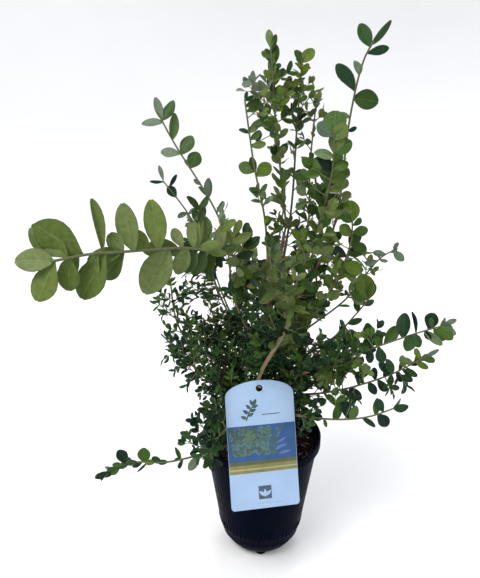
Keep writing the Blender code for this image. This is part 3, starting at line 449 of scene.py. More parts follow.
# Where the photograph shows sky through the crown: ellipses in its pixels, each by the middle from the
# left and from the top, half the width and half the height. No leaf that follows the rule hides them.
SKY_GAPS = (
    (175, 222, 8, 16), (214, 218, 5, 9), (237, 211, 12, 7), (258, 226, 8, 11), (262, 253, 6, 8),
    (288, 243, 7, 11), (223, 278, 7, 10), (179, 271, 5, 7), (203, 309, 5, 5), (152, 338, 11, 26),
    (226, 303, 5, 6), (314, 328, 5, 10), (336, 308, 5, 11), (334, 331, 7, 7), (364, 314, 10, 14),
    (355, 323, 10, 5), (390, 350, 10, 9), (371, 359, 8, 6), (351, 382, 6, 9), (370, 396, 7, 12),
    (329, 412, 6, 12), (310, 392, 4, 4), (266, 135, 4, 6), (282, 124, 4, 5), (297, 164, 5, 8),
    (320, 143, 5, 5), (291, 198, 5, 18), (358, 160, 10, 40),
)
HELD_CLEAR = 6.0  # the rule stops this far short of the last leaf held so
NEAR_DROOP = 4.5  # the tip of the near arch hangs this far below the way of its solid
NEAR_DROOP_LENGTH = 34.0
STEM_END = 0.7  # a shoot's stem ends this share of its solid leaf short of its way's end
NEAR_END = 0.35

# ---- The rule of growth ----
END_OPEN = math.radians(26)
TWIG_END_OPEN = END_OPEN * 1.4
END_LEAVES = (  # the leaves at a shoot's tip: turn, share of a leaf's length, of END_OPEN, how far back
    (0.0, 0.8, 1.0, 1.9), (math.pi, 0.8, 1.0, 1.9),
    (math.pi / 2, 0.5, 0.5, 0.6), (-math.pi / 2, 0.5, 0.5, 0.6),
)
TWIG_OPEN = math.radians(46)
PAIR_OFFSET = 0.35
SHORTER = (1.0, 0.82, 0.66)  # a leaf that has no room is tried again at these sizes
REACH = 31.0
CROWN_MIDDLE = 6.0
TWIG_RADIUS = 0.55
FINE_TWIG_RADIUS = 0.36
FINE_SHARE = 0.55  # length of a fine twig, of the side twig that bears it
TWIG_STEP = 0.46  # between a twig's pairs of leaves, of a leaf's length
TWIG_RISE = 0.16  # how much a side twig turns up towards its tip, of its length
TWIG_NODE = 4  # points of a twig's line from node to node
BRANCHING = 16.0  # twigs longer than this bear fine ones
LAST_BRANCH = 0.93
LAST_LEAF = 0.85
ROOTED = 0.4  # leaves and twigs start this deep in what bears them
GOLDEN_ANGLE = math.radians(137.5)
FACE_OUT = 0.6  # what the way a leaf's upper side looks is made up of
FACE_FRONT = 0.30
FACE_UP = 0.55
FACE_ALONG = 0.25
FACE_JITTER = 0.45
COURSE_JITTER = 0.14
FLATTEN = 0.55  # how flat a level stem holds its leaves
TURN_JITTER = 0.25
TONE_NODES = 3  # the colour changes after so many nodes
LEAF_FALL = 0.15  # how much smaller the leaves are at the shoot's tip
SIDE_START = 1.15  # length of the side twigs at its root, and how much of it they lose to its tip
SIDE_FALL = 0.5
TWIG_RISES = (0.3, 1.4)
TWIG_CLEAR = 3.0
TWIG_POINTS = 9
TWIG_TAPER = 0.6
TUFT_LENGTH = 0.3  # of a leaf's
FINE_STEP = 1.6
STEM_STEP = 2.2
SIZES = (0.88, 1.12)  # ranges that the draws come from
LEAF_SIZES = (0.88, 1.08)
TWIG_LEAF_SIZES = (0.78, 0.98)
TUFT_SIZES = (0.58, 0.80)
TWIG_SIZES = (0.8, 1.15)
FINE_SIZES = (0.8, 1.1)
SPROUT_SIZES = (0.7, 1.0)

# ---- Bark ----
BARK_STEP = 1.1
BARK_SIDES = 16
TRUNK_SIDES = 24
COLLAR = 0.55  # how much a bough swells where it leaves the trunk
COLLAR_LENGTH = 3.0
NODE_SWELL = 0.16
NODE_WIDTH = 1.0
# The noise of fissures and flakes round a limb and along it, and its height as a share of the radius
FISSURE_ROUND = 2.4
FISSURE_ALONG = 0.1
FISSURE_HEIGHT = 0.1
FLAKE_ROUND = 4.0
FLAKE_ALONG = 0.8
FLAKE_HEIGHT = 0.05
FLARE_LOBES = 5.0
LOBE_HEIGHT = 0.16
LOBE_FADE = 6.0
TRUNK_NODES = 17.0
BOUGH_NODES = 13.0
SPUR_NODES = 4.0
SPUR_SEED = 77
WOOD = {  # material, and its dark and light colour
    "bark": ("trunk_bark", (0.06, 0.042, 0.026), (0.21, 0.165, 0.105)),
    "young_bark": ("young_bark", (0.085, 0.06, 0.026), (0.26, 0.19, 0.095)),
    "dead_wood": ("dead_wood", (0.12, 0.055, 0.03), (0.33, 0.18, 0.11)),
    "stem": ("stem_bark", (0.046, 0.058, 0.02), (0.112, 0.12, 0.05)),
    "green_twig": ("green_twig", (0.075, 0.11, 0.035), (0.15, 0.19, 0.07)),
}

# ---- A leaf's mesh ----
FULL_ROWS = (0.0, 0.06, 0.16, 0.30, 0.46, 0.61, 0.74, 0.85, 0.93, 0.98)
FULL_COLUMNS = (-1.0, -0.90, -0.48, -0.045, 0.045, 0.48, 0.90, 1.0)
PLAIN_ROWS = (0.0, 0.12, 0.34, 0.60, 0.82, 0.96)
PLAIN_COLUMNS = (-1.0, -0.09, 0.09, 1.0)
LEAF_FORMS = 9
# Where it is broadest, and its fold, curl, cup and twist: the range of each
LEAF_RANGES = ((0.5, 0.6), (0.0, 0.3), (-0.04, 0.16), (-0.16, 0.04), (-0.25, 0.25))
LEAF_THICK = 0.030
LEAST_BREADTH = 0.07
NOTCH = 0.016
TIP_BULGE = 0.03
RIB_DEPTH = 0.012
BIG_LEAF = 12.5  # leaves this long or longer get the full mesh
UPPER, UNDER, RIB, MARGIN = range(4)
BLADE = ((0, 0), (0.35, 0.33), (0.75, 0.46), (1, 0), (0.75, -0.46), (0.35, -0.33))  # its outline, roughly
# Where the blade starts, how long and wide it counts, all of the leaf, where it is thickest, and how thick
BLADE_START = 0.28
BLADE_LENGTH = 0.64
BLADE_WIDTH = 0.8
BLADE_MIDDLE = 0.6
BLADE_THICK = 0.3
BASE_ROUND = 0.70  # the smaller, the rounder the leaf's base and its tip
TIP_ROUND = 0.56
CELL = 14.0  # of the grid that finds a leaf's neighbours

# ---- Leaf colours, dealt out by spray: upper side, underside and midrib ----
TONES = {
    "fresh": (
        ((0.084, 0.12, 0.026), (0.12, 0.158, 0.066), (0.13, 0.17, 0.056)),
        ((0.066, 0.1, 0.02), (0.105, 0.142, 0.058), (0.112, 0.15, 0.046)),
        ((0.104, 0.138, 0.044), (0.135, 0.17, 0.078), (0.15, 0.185, 0.07)),
    ),
    "arch": (
        ((0.092, 0.126, 0.032), (0.124, 0.158, 0.066), (0.13, 0.168, 0.056)),
        ((0.064, 0.096, 0.024), (0.1, 0.134, 0.058), (0.104, 0.14, 0.048)),
        ((0.132, 0.158, 0.056), (0.15, 0.178, 0.084), (0.166, 0.194, 0.08)),
        ((0.034, 0.06, 0.016), (0.074, 0.108, 0.046), (0.072, 0.106, 0.038)),
    ),
    "mid": (
        ((0.044, 0.086, 0.011), (0.088, 0.13, 0.04), (0.088, 0.134, 0.03)),
        ((0.068, 0.112, 0.013), (0.11, 0.152, 0.042), (0.114, 0.162, 0.034)),
        ((0.02, 0.045, 0.007), (0.054, 0.088, 0.033), (0.052, 0.086, 0.025)),
        ((0.088, 0.124, 0.034), (0.124, 0.158, 0.066), (0.142, 0.18, 0.064)),
    ),
    "grey": (
        ((0.092, 0.132, 0.08), (0.135, 0.172, 0.118), (0.15, 0.192, 0.116)),
        ((0.056, 0.09, 0.056), (0.108, 0.142, 0.096), (0.115, 0.152, 0.09)),
        ((0.106, 0.142, 0.092), (0.15, 0.184, 0.128), (0.165, 0.202, 0.126)),
    ),
    "pale": (
        ((0.1, 0.145, 0.062), (0.14, 0.18, 0.1), (0.17, 0.215, 0.1)),
        ((0.056, 0.096, 0.026), (0.105, 0.145, 0.07), (0.115, 0.16, 0.064)),
        ((0.034, 0.068, 0.016), (0.08, 0.12, 0.054), (0.082, 0.128, 0.044)),
    ),
    # Dark: deep green leaves, darkened further with painted shade for the shoots that stand in the crown's
    # shade.
    "dark": (
        ((0.01, 0.032, 0.012), (0.044, 0.075, 0.04), (0.038, 0.07, 0.03)),
        ((0.018, 0.05, 0.012), (0.058, 0.096, 0.04), (0.054, 0.096, 0.028)),
        ((0.005, 0.016, 0.009), (0.03, 0.052, 0.032), (0.025, 0.048, 0.022)),
        ((0.032, 0.072, 0.01), (0.074, 0.114, 0.04), (0.074, 0.122, 0.03)),
    ),
    # Olive: brownish green inner leaves, darkened with painted shade deep in the crown.
    "olive": (
        ((0.028, 0.046, 0.004), (0.062, 0.086, 0.026), (0.062, 0.086, 0.018)),
        ((0.014, 0.031, 0.004), (0.042, 0.068, 0.02), (0.04, 0.066, 0.014)),
        ((0.007, 0.019, 0.004), (0.028, 0.05, 0.02), (0.026, 0.048, 0.014)),
    ),
}
LEAF_SHEEN = 0.11
RIB_SHARE = 0.55  # how far a midrib's colour goes from the blade's own to the rib's
LEAF_EDGE_SHADE = (0.030, 0.052, 0.040)  # painted shade: the darker, bluer green laid along a large leaf's edge
EDGE_SHADE_SHARE = 0.4

# ---- Floor, light and camera, in metres: the photograph's view ----
FLOOR_FLAT = 1.7  # radius of the flat floor
FLOOR_RINGS = (0.12, 0.4, 0.7)
FLOOR_CURVE = 1.1  # radius of its sweep up into the wall
FLOOR_STEPS = 12
WALL_TOP = 3.2
FLOOR_TURNS = 96
LIGHTS_AIM = (0.0, 0.0, 0.2)
LIGHTS = (  # name, place, size, power in watts, colour
    ("key", (-0.8, -1.0, 2.1), 1.1, 42.0, (1.0, 0.985, 0.95)),
    ("fill", (1.4, -0.9, 1.2), 1.4, 9.0, (0.95, 0.98, 1.0)),
    ("back", (0.4, 1.5, 1.8), 1.2, 16.0, (1.0, 1.0, 1.0)),
)
SKY_COLOUR = (0.95, 0.97, 1.0, 1.0)
SKY_STRENGTH = 0.84
EYE = (-0.02077, -0.49842, 0.45213)
EYE_PITCH = math.radians(70)
SENSOR = 36.0
FOCUS = 600.0  # the lens's length in the photograph's pixels
PHOTO_MIDDLE = (240.0, 289.0)
LENS = SENSOR * FOCUS / (2 * PHOTO_MIDDLE[1])
SEEN_UP = Vector((0.0, math.cos(EYE_PITCH), math.sin(EYE_PITCH)))
SEEN_NEAR = Vector((0.0, -math.sin(EYE_PITCH), math.cos(EYE_PITCH)))

# ======== Curves ========

def smooth_way(points, count):
    """count points, evenly spaced along a smooth curve through the given ones."""
    points = [Vector(point) for point in points]
    slopes = [points[1] - points[0]]
    slopes += [(after - before) / 2 for before, after in zip(points, points[2:])]
    slopes.append(points[-1] - points[-2])
    fine = []
    for (a, slope_a), (b, slope_b) in zip(zip(points, slopes), zip(points[1:], slopes[1:])):
        pull = (b - a).length / 3
        start = a + slope_a.normalized() * pull
        end = b - slope_b.normalized() * pull
        fine += interpolate_bezier(a, start, end, b, BEZIER_STEPS)[:-1]
    fine.append(points[-1])
    return evenly(fine, count)


def evenly(points, count):
    """count points at equal distances along a run of straight pieces."""
    along = [0.0]
    for before, after in zip(points, points[1:]):
        along.append(along[-1] + (after - before).length)
    found = []
    piece = 0
    for number in range(count):
        distance = along[-1] * number / (count - 1)
        while piece < len(points) - 2 and along[piece + 1] < distance:
            piece += 1
        share = (distance - along[piece]) / max(along[piece + 1] - along[piece], 1e-9)
        found.append(points[piece].lerp(points[piece + 1], share))
    return found


def length_of(points):
    return sum((after - before).length for before, after in zip(points, points[1:]))


def at_share(points, share):
    """The point at a share of an evenly spaced way."""
    place = min(share * (len(points) - 1), len(points) - 1 - 1e-6)
    return points[int(place)].lerp(points[int(place) + 1], place - int(place))


def piece_of(points, first, last):
    """The stretch of an evenly spaced way between two shares of its length."""
    inner = [point for number, point in enumerate(points) if first < number / (len(points) - 1) < last]
    return [at_share(points, first), *inner, at_share(points, last)]


def back_from_tip(run, distance):
    return at_share(run, max(0.0, 1.0 - distance / length_of(run)))


def taper(first, last, count):
    return [first + (last - first) * number / (count - 1) for number in range(count)]


def circle(count):
    """Angles round a circle."""
    return [math.tau * turn / count for turn in range(count)]


def polar(radius, angle, height=0.0):
    return radius * math.cos(angle), radius * math.sin(angle), height


def arc(middle, radius, first, last, count):
    """Points (radius, height) on an arc in a turned profile's plane, angles in degrees."""
    angles = [math.radians(first + (last - first) * number / (count - 1)) for number in range(count)]
    return [(middle[0] + radius * math.cos(angle), middle[1] + radius * math.sin(angle)) for angle in angles]


def seen(heading, toward):
    """A direction given as the viewer in front sees it, in degrees."""
    flat = RIGHT * math.cos(math.radians(heading)) + SEEN_UP * math.sin(math.radians(heading))
    return flat * math.cos(math.radians(toward)) + SEEN_NEAR * math.sin(math.radians(toward))


# ======== Meshes ========

def link(name, data):
    thing = bpy.data.objects.new(name, data)
    bpy.context.scene.collection.objects.link(thing)
    return thing


def evaluated_mesh(thing):
    bpy.context.view_layer.update()
    return bpy.data.meshes.new_from_object(thing.evaluated_get(bpy.context.evaluated_depsgraph_get()))


def mesh_lists(shape):
    """A bmesh's points and faces; frees it."""
    shape.verts.index_update()
    points = [vert.co.copy() for vert in shape.verts]
    faces = [tuple(vert.index for vert in face.verts) for face in shape.faces]
    shape.free()
    return points, faces


class Heap:
    """Small closed meshes gathered for one piece, in millimetres, with a material for each face."""

    def __init__(self):
        self.points = []
        self.faces = []
        self.paints = []
        self.palette = []
        self.count = 0

    def paint_of(self, material):
        if material not in self.palette:
            self.palette.append(material)
        return self.palette.index(material)

    def add(self, points, faces, materials, parts=None):
        """parts: which of the materials each face has; the first, if there are none."""
        paints = [self.paint_of(material) for material in materials]
        self.points.append(np.asarray(points, float))
        self.faces += [[corner + self.count for corner in face] for face in faces]
        self.paints += [paints[part] for part in parts or [0] * len(faces)]
        self.count += len(points)

    def make(self, name, slot, nodes, sharp):
        mesh = bpy.data.meshes.new(name)
        mesh.from_pydata((np.concatenate(self.points) * MM).tolist(), [], self.faces)
        for material in self.palette:
            mesh.materials.append(material)
        mesh.polygons.foreach_set("material_index", self.paints)
        mesh.shade_smooth()
        mesh.set_sharp_from_angle(angle=math.radians(sharp))
        piece = link(name, mesh)
        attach(piece, BODY)
        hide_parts(*nodes)
        return piece


def make_piece(name, slot, nodes, sharp, mesh, material):
    heap = Heap()
    heap.add(*mesh, [material])
    return heap.make(name, slot, nodes, sharp)


def ring_faces(rings, sides, first=0):
    """Quads between neighbouring rings of points."""
    faces = []
    for low in range(first, first + (rings - 1) * sides, sides):
        for turn in range(sides):
            after = (turn + 1) % sides
            faces.append((low + turn, low + after, low + sides + after, low + sides + turn))
    return faces


def flipped(faces):
    return [face[::-1] for face in faces]


def turned_rows(profile, sides, bend=None):
    """Rings of points about Z. bend(radius, height, angle) changes the radius."""
    return [polar(bend(radius, height, angle) if bend else radius, angle, height)
            for radius, height in profile for angle in circle(sides)]


def capped(rows, sides, start, end):
    """Points and faces of a closed mesh: its rings, with a fan to a point at each end."""
    faces = ring_faces(len(rows) // sides, sides)
    last = len(rows) - sides
    for turn in range(sides):
        after = (turn + 1) % sides
        faces.append((after, turn, len(rows)))
        faces.append((last + turn, last + after, len(rows) + 1))
    return [*rows, start, end], faces


def tube_mesh(points, radius_at, sides, tip=1.0):
    """A closed limb through the points. radius_at(ring, angle) gives its surface; the tip is domed."""
    rows = []
    side = across((points[1] - points[0]).normalized())[0]
    for number, point in enumerate(points):
        before = points[max(number - 1, 0)]
        after = points[min(number + 1, len(points) - 1)]
        along = (after - before).normalized()
        side = (side - along * side.dot(along)).normalized()
        upper = along.cross(side)
        for angle in circle(sides):
            reach = radius_at(number, angle)
            rows.append(point + (side * math.cos(angle) + upper * math.sin(angle)) * reach)
    start = points[0] - (points[1] - points[0]).normalized() * 0.2
    return capped(rows, sides, start, points[-1] + along * radius_at(len(points) - 1, 0.0) * tip)


# ======== Materials ========

def grain(tree, scale, detail=4.0, roughness=0.55, stretch=None):
    """Noise in the object's own coordinates; scale is in waves a metre."""
    pattern = tree.nodes.new("ShaderNodeTexNoise")
    pattern.inputs["Scale"].default_value = scale
    pattern.inputs["Detail"].default_value = detail
    pattern.inputs["Roughness"].default_value = roughness
    socket = tree.nodes.new("ShaderNodeTexCoord").outputs["Object"]
    if stretch:
        mapping = tree.nodes.new("ShaderNodeMapping")
        mapping.inputs["Scale"].default_value = stretch
        tree.links.new(socket, mapping.inputs["Vector"])
        socket = mapping.outputs["Vector"]
    tree.links.new(socket, pattern.inputs["Vector"])
    return pattern.outputs["Fac"]


def noisy_material(name, colour, stops, gloss=None, relief=None, sockets=()):
    """A material whose colour drifts along the stops (place, colour), by noise; colour holds grain's values.

    gloss: grain's values, then the lowest and highest roughness. relief: grain's values, then the bump's
    strength and distance. sockets: (name, value) for what is the same all over.
    """
    material = bpy.data.materials.new(name)
    material.use_nodes = True
    tree = material.node_tree
    shader = tree.nodes["Principled BSDF"]
    ramp = tree.nodes.new("ShaderNodeValToRGB")
    marks = ramp.color_ramp.elements
    while len(marks) < len(stops):
        marks.new(0.5)
    for mark, (place, tint) in zip(marks, stops):
        mark.position = place
        mark.color = (*tint, 1.0)
    tree.links.new(grain(tree, *colour), ramp.inputs["Fac"])
    tree.links.new(ramp.outputs["Color"], shader.inputs["Base Color"])
    if gloss:
        scaled = tree.nodes.new("ShaderNodeMapRange")
        for socket, value in zip(("From Min", "From Max", "To Min", "To Max"), (0.3, 0.7, *gloss[1:])):
            scaled.inputs[socket].default_value = value
        tree.links.new(grain(tree, *gloss[0]), scaled.inputs["Value"])
        tree.links.new(scaled.outputs["Result"], shader.inputs["Roughness"])
    if relief:
        bump = tree.nodes.new("ShaderNodeBump")
        bump.inputs["Strength"].default_value = relief[1]
        bump.inputs["Distance"].default_value = relief[2]
        tree.links.new(grain(tree, *relief[0]), bump.inputs["Height"])
        tree.links.new(bump.outputs["Normal"], shader.inputs["Normal"])
    for socket, value in sockets:
        shader.inputs[socket].default_value = value
    return material


def mixed(first, second, share):
    return tuple(a + (b - a) * share for a, b in zip(first, second))


def leaf_material(name, colour, gloss):
    """Waxy leaf: a faint mottle of its own colour, uneven gloss and fine cells."""
    dark, light = ([channel * amount for channel in colour] for amount in (0.84, 1.16))
    return noisy_material(name, (420, 3), ((0.32, dark), (0.68, light)), ((700, 2), gloss, gloss + 0.16),
                          ((2600, 2), 0.35, 0.00012), (("Specular IOR Level", LEAF_SHEEN),))


def leaf_materials(name, tone):
    """For a leaf's upper side, underside, midrib and margin; the margin's colour is painted bluish shade."""
    upper, under, rib = tone
    return [leaf_material(f"leaf_{name}", upper, 0.36), leaf_material(f"underleaf_{name}", under, 0.55),
            leaf_material(f"midrib_{name}", mixed(upper, rib, RIB_SHARE), 0.45),
            # The margin's colour mixes the blade's green with painted bluish edge shade.
            leaf_material(f"margin_{name}", mixed(upper, LEAF_EDGE_SHADE, EDGE_SHADE_SHARE), 0.45)]


def bark_material(name, dark, light, scale=900.0):
    streaks = (scale, 6, 0.65)
    return noisy_material(name, streaks, ((0.34, dark), (0.66, light)), (streaks, 0.7, 0.92),
                          ((scale * 2.2, 5, 0.7), 0.5, 0.0003))


def pot_material():
    """Black blow-moulded plastic, a little navy of its own, with fine drawn streaks and a film of compost
    dust; a bluish sheen is painted in, by a blue-tinted dust colour and a blue specular tint.
    """
    # Navy-black plastic and its dust, the dust tinted blue as painted reflection of a bluish rim-light.
    navy_dust_and_painted_sheen = ((0.45, (0.0012, 0.0024, 0.0072)), (0.62, (0.0018, 0.0032, 0.0094)),
            (0.84, (0.0052, 0.0058, 0.01)))
    # The blue specular tint is a painted blue sheen; plain plastic reflects untinted.
    sheen_with_painted_blue = (("IOR", 1.32), ("Specular IOR Level", 0.02), ("Specular Tint", (0.45, 0.62, 1.0, 1.0)))
    return noisy_material("pot_black_plastic", (60, 6, 0.7), navy_dust_and_painted_sheen, ((140, 5), 0.26, 0.44),
                          ((900, 3, 0.55, (1.0, 1.0, 0.06)), 0.25, 0.0002), sheen_with_painted_blue)


def soil_material():
    crumbs = ((0.3, (0.005, 0.003, 0.003)), (0.52, (0.013, 0.0075, 0.0065)), (0.72, (0.036, 0.02, 0.015)))
    return noisy_material("compost", (520, 8, 0.75), crumbs, None, ((1500, 6, 0.8), 0.8, 0.0006),
                          (("Roughness", 0.95), ("Specular IOR Level", 0.05)))


def plain_material(name, low, high, scale, roughness=0.38):
    """Printed or moulded plastic whose colour drifts a little between two near tones."""
    return noisy_material(name, (scale, 3), ((0.35, low), (0.65, high)),
                          ((900, 2), roughness, roughness + 0.12), ((3000, 2), 0.12, 0.00005))


# ======== Pot and compost ========

def within(height, low, high, soft):
    rise = min(max((height - low) / soft, 0.0), 1.0)
    fall = min(max((high - height) / soft, 0.0), 1.0)
    return min(rise, fall)


def wall_radius(radius, height, angle):
    """Radius of the pot's outside with its ribs."""
    wall = within(height, *WALL_RIB_SPAN) * max(0.0, math.cos(angle * WALL_RIBS))
    grip = sum(within(height, *band) for band in GRIP_BANDS) * max(0.0, math.cos(angle * GRIP_RIBS)) ** 3
    return radius + wall * WALL_RIB_HEIGHT + grip * GRIP_RIB_HEIGHT


def make_pot(material):
    plain = [*POT_INSIDE, *arc(*RIM_TOP), *RIM_BAND, *arc(*RIM_LIP), RIM_UNDER]
    wall = evenly([Vector((radius, 0.0, height)) for radius, height in POT_WALL], WALL_RINGS)
    foot = smooth_way([(radius, 0.0, height) for radius, height in POT_FOOT], FOOT_RINGS)
    ribbed = [(point.x, point.z) for point in wall[:-1] + foot]
    rows = turned_rows(plain, POT_TURNS) + turned_rows(ribbed, POT_TURNS, wall_radius)
    rows, faces = capped(rows, POT_TURNS, (0.0, 0.0, plain[0][1]), (0.0, 0.0, ribbed[-1][1]))
    pot = make_piece("pot_shell", "pot_plastic", ["pot"], 35.0, (rows, flipped(faces)), material)
    cut_drain_holes(pot)


def cut_drain_holes(pot):
    radius, height = DRAIN_MIDDLE
    shape = bmesh.new()
    outward = Matrix.Translation((radius * MM, 0.0, height * MM)) @ Matrix.Rotation(DRAIN_TILT, 4, "Y")
    for number in range(DRAIN_HOLES):
        turn = Matrix.Rotation(math.tau * (number + 0.5) / DRAIN_HOLES - math.pi / 2, 4, "Z")
        bmesh.ops.create_cone(shape, cap_ends=True, segments=32, radius1=DRAIN_RADIUS * MM,
                              radius2=DRAIN_RADIUS * MM, depth=DRAIN_DEPTH * MM, matrix=turn @ outward)
    mesh = bpy.data.meshes.new("drain_holes")
    shape.to_mesh(mesh)
    shape.free()
    cutter = link("drain_holes", mesh)
    cut = pot.modifiers.new("Drain holes", "BOOLEAN")
    cut.operation = "DIFFERENCE"
    cut.object = cutter
    made = evaluated_mesh(pot)
    pot.modifiers.clear()
    pot.data = made
    bpy.data.objects.remove(cutter, do_unlink=True)


def make_feet(material):
    """Small domed feet moulded under the pot."""
    heap = Heap()
    foot = turned_rows([FOOT_PROFILE_TOP, *arc(*FOOT_EDGE)], FOOT_TURNS)
    last = len(foot) - FOOT_TURNS
    faces = [tuple(range(FOOT_TURNS)), tuple(range(last, len(foot)))[::-1]]
    faces += flipped(ring_faces(len(foot) // FOOT_TURNS, FOOT_TURNS))
    for angle in circle(FEET):
        middle = Vector(polar(FOOT_MIDDLE, angle - math.pi / 2))
        heap.add([middle + Vector(row) for row in foot], faces, [material])
    heap.make("pot_feet", "pot_plastic", ["pot"], 50.0)


def soil_height(x, y):
    """Rough top of the compost, a little dished and drawn up round the trunk."""
    away = math.hypot(x, y)
    rough = sum(noise.fractal(Vector((x, y, place)) * waves, roughness, 2.0, octaves) * height
                for place, waves, roughness, octaves, height in SOIL_ROUGH)
    edge = max(min(1.0, (SOIL_RADIUS - away) / SOIL_EDGE), 0.0)
    return SOIL_TOP - SOIL_DISH + rough * edge + SOIL_MOUND * math.exp(-(away / SOIL_MOUND_RADIUS) ** 2)


def make_soil(material):
    rings = [(SOIL_RADIUS * number / SOIL_RINGS, SOIL_TOP) for number in range(1, SOIL_RINGS + 1)]
    rows = turned_rows([*rings, *SOIL_SIDE], POT_TURNS)
    rows, faces = capped(rows, POT_TURNS, (0.0, 0.0, SOIL_TOP), (0.0, 0.0, SOIL_SIDE[-1][1]))
    rows = [(x, y, soil_height(x, y) if height == SOIL_TOP else height) for x, y, height in rows]
    make_piece("compost_bed", "compost", ["potting_soil"], 80.0, (rows, faces), material)


def rough_bit(draw, size, lumps):
    """A closed rough grain of bark or perlite about its own middle."""
    shape = bmesh.new()
    bmesh.ops.create_icosphere(shape, subdivisions=2, radius=0.5)
    shift = jitter(draw, 50.0)
    points, faces = mesh_lists(shape)
    swells = [1.0 + lumps * noise.noise(point * 2.6 + shift) for point in points]
    rows = [Vector((point.x * size[0], point.y * size[1], point.z * size[2])) * swell
            for point, swell in zip(points, swells)]
    return rows, faces


def make_soil_bits(soil):
    materials = {
        "bark": bark_material("bark_chip", (0.030, 0.017, 0.009), (0.110, 0.062, 0.034), 700.0),
        "crumb": soil,
        "perlite": plain_material("perlite", (0.50, 0.49, 0.45), (0.72, 0.71, 0.67), 900, 0.85),
    }
    draw = random.Random(BITS_SEED)
    heap = Heap()
    for kind, count, largest, lumps in BITS:
        for _ in range(count):
            size = [side * draw.uniform(*BITS_SIZES) for side in largest]
            away = BITS_REACH * math.sqrt(draw.uniform(0.03, 1.0))
            x, y, _height = polar(away, draw.uniform(0.0, math.tau))
            rows, faces = rough_bit(draw, size, lumps)
            turn = Matrix.Rotation(draw.uniform(0, math.tau), 4, "Z")
            tip = Matrix.Rotation(draw.uniform(-0.4, 0.4), 4, "X")
            middle = Vector((x, y, soil_height(x, y) + size[2] * BITS_LIFT))
            heap.add([turn @ tip @ row + middle for row in rows], faces, [materials[kind]])
    heap.make("compost_bits", "compost", ["potting_soil"], 40.0)


# ======== Hang tag ========

def tag_matrix():
    """From the tag's own plane, X across and Y up it, to where it leans on the rim; metres."""
    lean = Matrix.Rotation(math.pi / 2 - TAG_LEAN, 4, "X")
    return Matrix.Translation(Vector(TAG_FOOT) * MM) @ Matrix.Rotation(TAG_TURN, 4, "Z") @ lean


def tag_outline():
    """The tag's edge in its own plane, counter-clockwise from the lower left corner."""
    half = TAG_WIDTH / 2
    inset = half - TAG_CORNER
    edge = arc((-inset, TAG_CORNER), TAG_CORNER, 180, 270, 8)
    edge += arc((inset, TAG_CORNER), TAG_CORNER, 270, 360, 8)
    for number in range(37):
        x, y, _height = polar(1.0, math.pi * number / 36)
        edge.append((half * x, TAG_SIDE + TAG_ARCH * y))
    return edge


def flat_piece(loops, thick, lift):
    """A thin plate in the tag's plane, filled between its outline and holes, as points and faces."""
    curve = bpy.data.curves.new("tag_print", "CURVE")
    curve.dimensions = "2D"
    curve.fill_mode = "BOTH"
    curve.extrude = thick / 2
    for edge in loops:
        spline = curve.splines.new("POLY")
        spline.points.add(len(edge) - 1)
        spline.use_cyclic_u = True
        for spot, (x, y) in zip(spline.points, edge):
            spot.co = (x, y, 0.0, 1.0)
    thing = link("tag_print", curve)
    mesh = evaluated_mesh(thing)
    bpy.data.objects.remove(thing, do_unlink=True)
    shape = bmesh.new()
    shape.from_mesh(mesh)
    bpy.data.meshes.remove(mesh)
    bmesh.ops.remove_doubles(shape, verts=shape.verts, dist=1e-4)
    cuts = [(TAG_UP, height) for height in np.arange(TAG_CELL, TAG_TOP, TAG_CELL)]
    cuts += [(RIGHT, place) for place in np.arange(TAG_CELL - TAG_WIDTH / 2, TAG_WIDTH / 2, TAG_CELL)]
    for course, place in cuts:
        every = [*shape.verts, *shape.edges, *shape.faces]
        bmesh.ops.bisect_plane(shape, geom=every, plane_co=course * place, plane_no=course)
    bmesh.ops.recalc_face_normals(shape, faces=shape.faces)
    points, faces = mesh_lists(shape)
    return [point + UP * lift for point in points], faces


def on_tag(rows):
    """Bows the tag's plane a little and sets it where the tag leans, in millimetres."""
    place = tag_matrix()
    found = []
    for row in rows:
        back = -TAG_BEND * (2.0 * row.x / TAG_WIDTH) ** 2 * min(row.y / TAG_BEND_START, 1.0)
        found.append(place @ (Vector((row.x, row.y, row.z + back)) * MM) / MM)
    return found


def leaf_loop(base, angle, length, width):
    """The outline of one printed leaf, from its base at an angle in degrees."""
    along = Vector(polar(1.0, math.radians(angle))[:2])
    side = Vector((-along.y, along.x)) * width / 2
    there = [(number / 6, 1.0) for number in range(7)]
    back = [(number / 6, -1.0) for number in range(5, 0, -1)]
    return [tuple(Vector(base) + along * length * share + side * sign * math.sin(math.pi * share ** 0.8))
            for share, sign in there + back]


def make_tag():
    printed = {kind: plain_material(*tones) for kind, tones in PRINTS.items()}
    heap = Heap()

    def lay(loop, kind, level):
        rows, faces = flat_piece([loop], PRINT_THICK, TAG_THICK / 2 + PRINT_LIFT * level)
        heap.add(on_tag(rows), faces, [printed[kind]])

    def lay_box(box, kind, level):
        left, low, right, high = box
        lay([(left, low), (right, low), (right, high), (left, high)], kind, level)

    ring = [polar(TAG_HOLE_RADIUS, angle) for angle in circle(32)]
    hole = [(x, TAG_HOLE_HEIGHT + y) for x, y, _height in ring]
    rows, faces = flat_piece([tag_outline(), hole], TAG_THICK, 0.0)
    heap.add(on_tag(rows), faces, [printed["blank"]])
    lay_box(PICTURE, "sky", 1)
    for base, angle, length in PALE_LEAVES:
        lay(leaf_loop(base, angle, length, length * 0.2), "pale", 2)
    lay_sprays(lay)
    for kind, bottom, top in BANDS:
        lay_box((PICTURE[0], bottom, PICTURE[2], top), kind, 2)
    lay(SPRIG_STALK, "ink", 1)
    for base, angle in SPRIG_LEAVES:
        lay(leaf_loop(base, angle, 6.0, 3.1), "ink", 1)
    for kind, box in RULES:
        lay_box(box, kind, 1)
    for base, angle in SQUARE_LEAVES:
        lay(leaf_loop(base, angle, 7.2, 3.0), "blank", 2)
    heap.make("tag_plate", "tag_plastic", ["hang_tag"], 40.0)


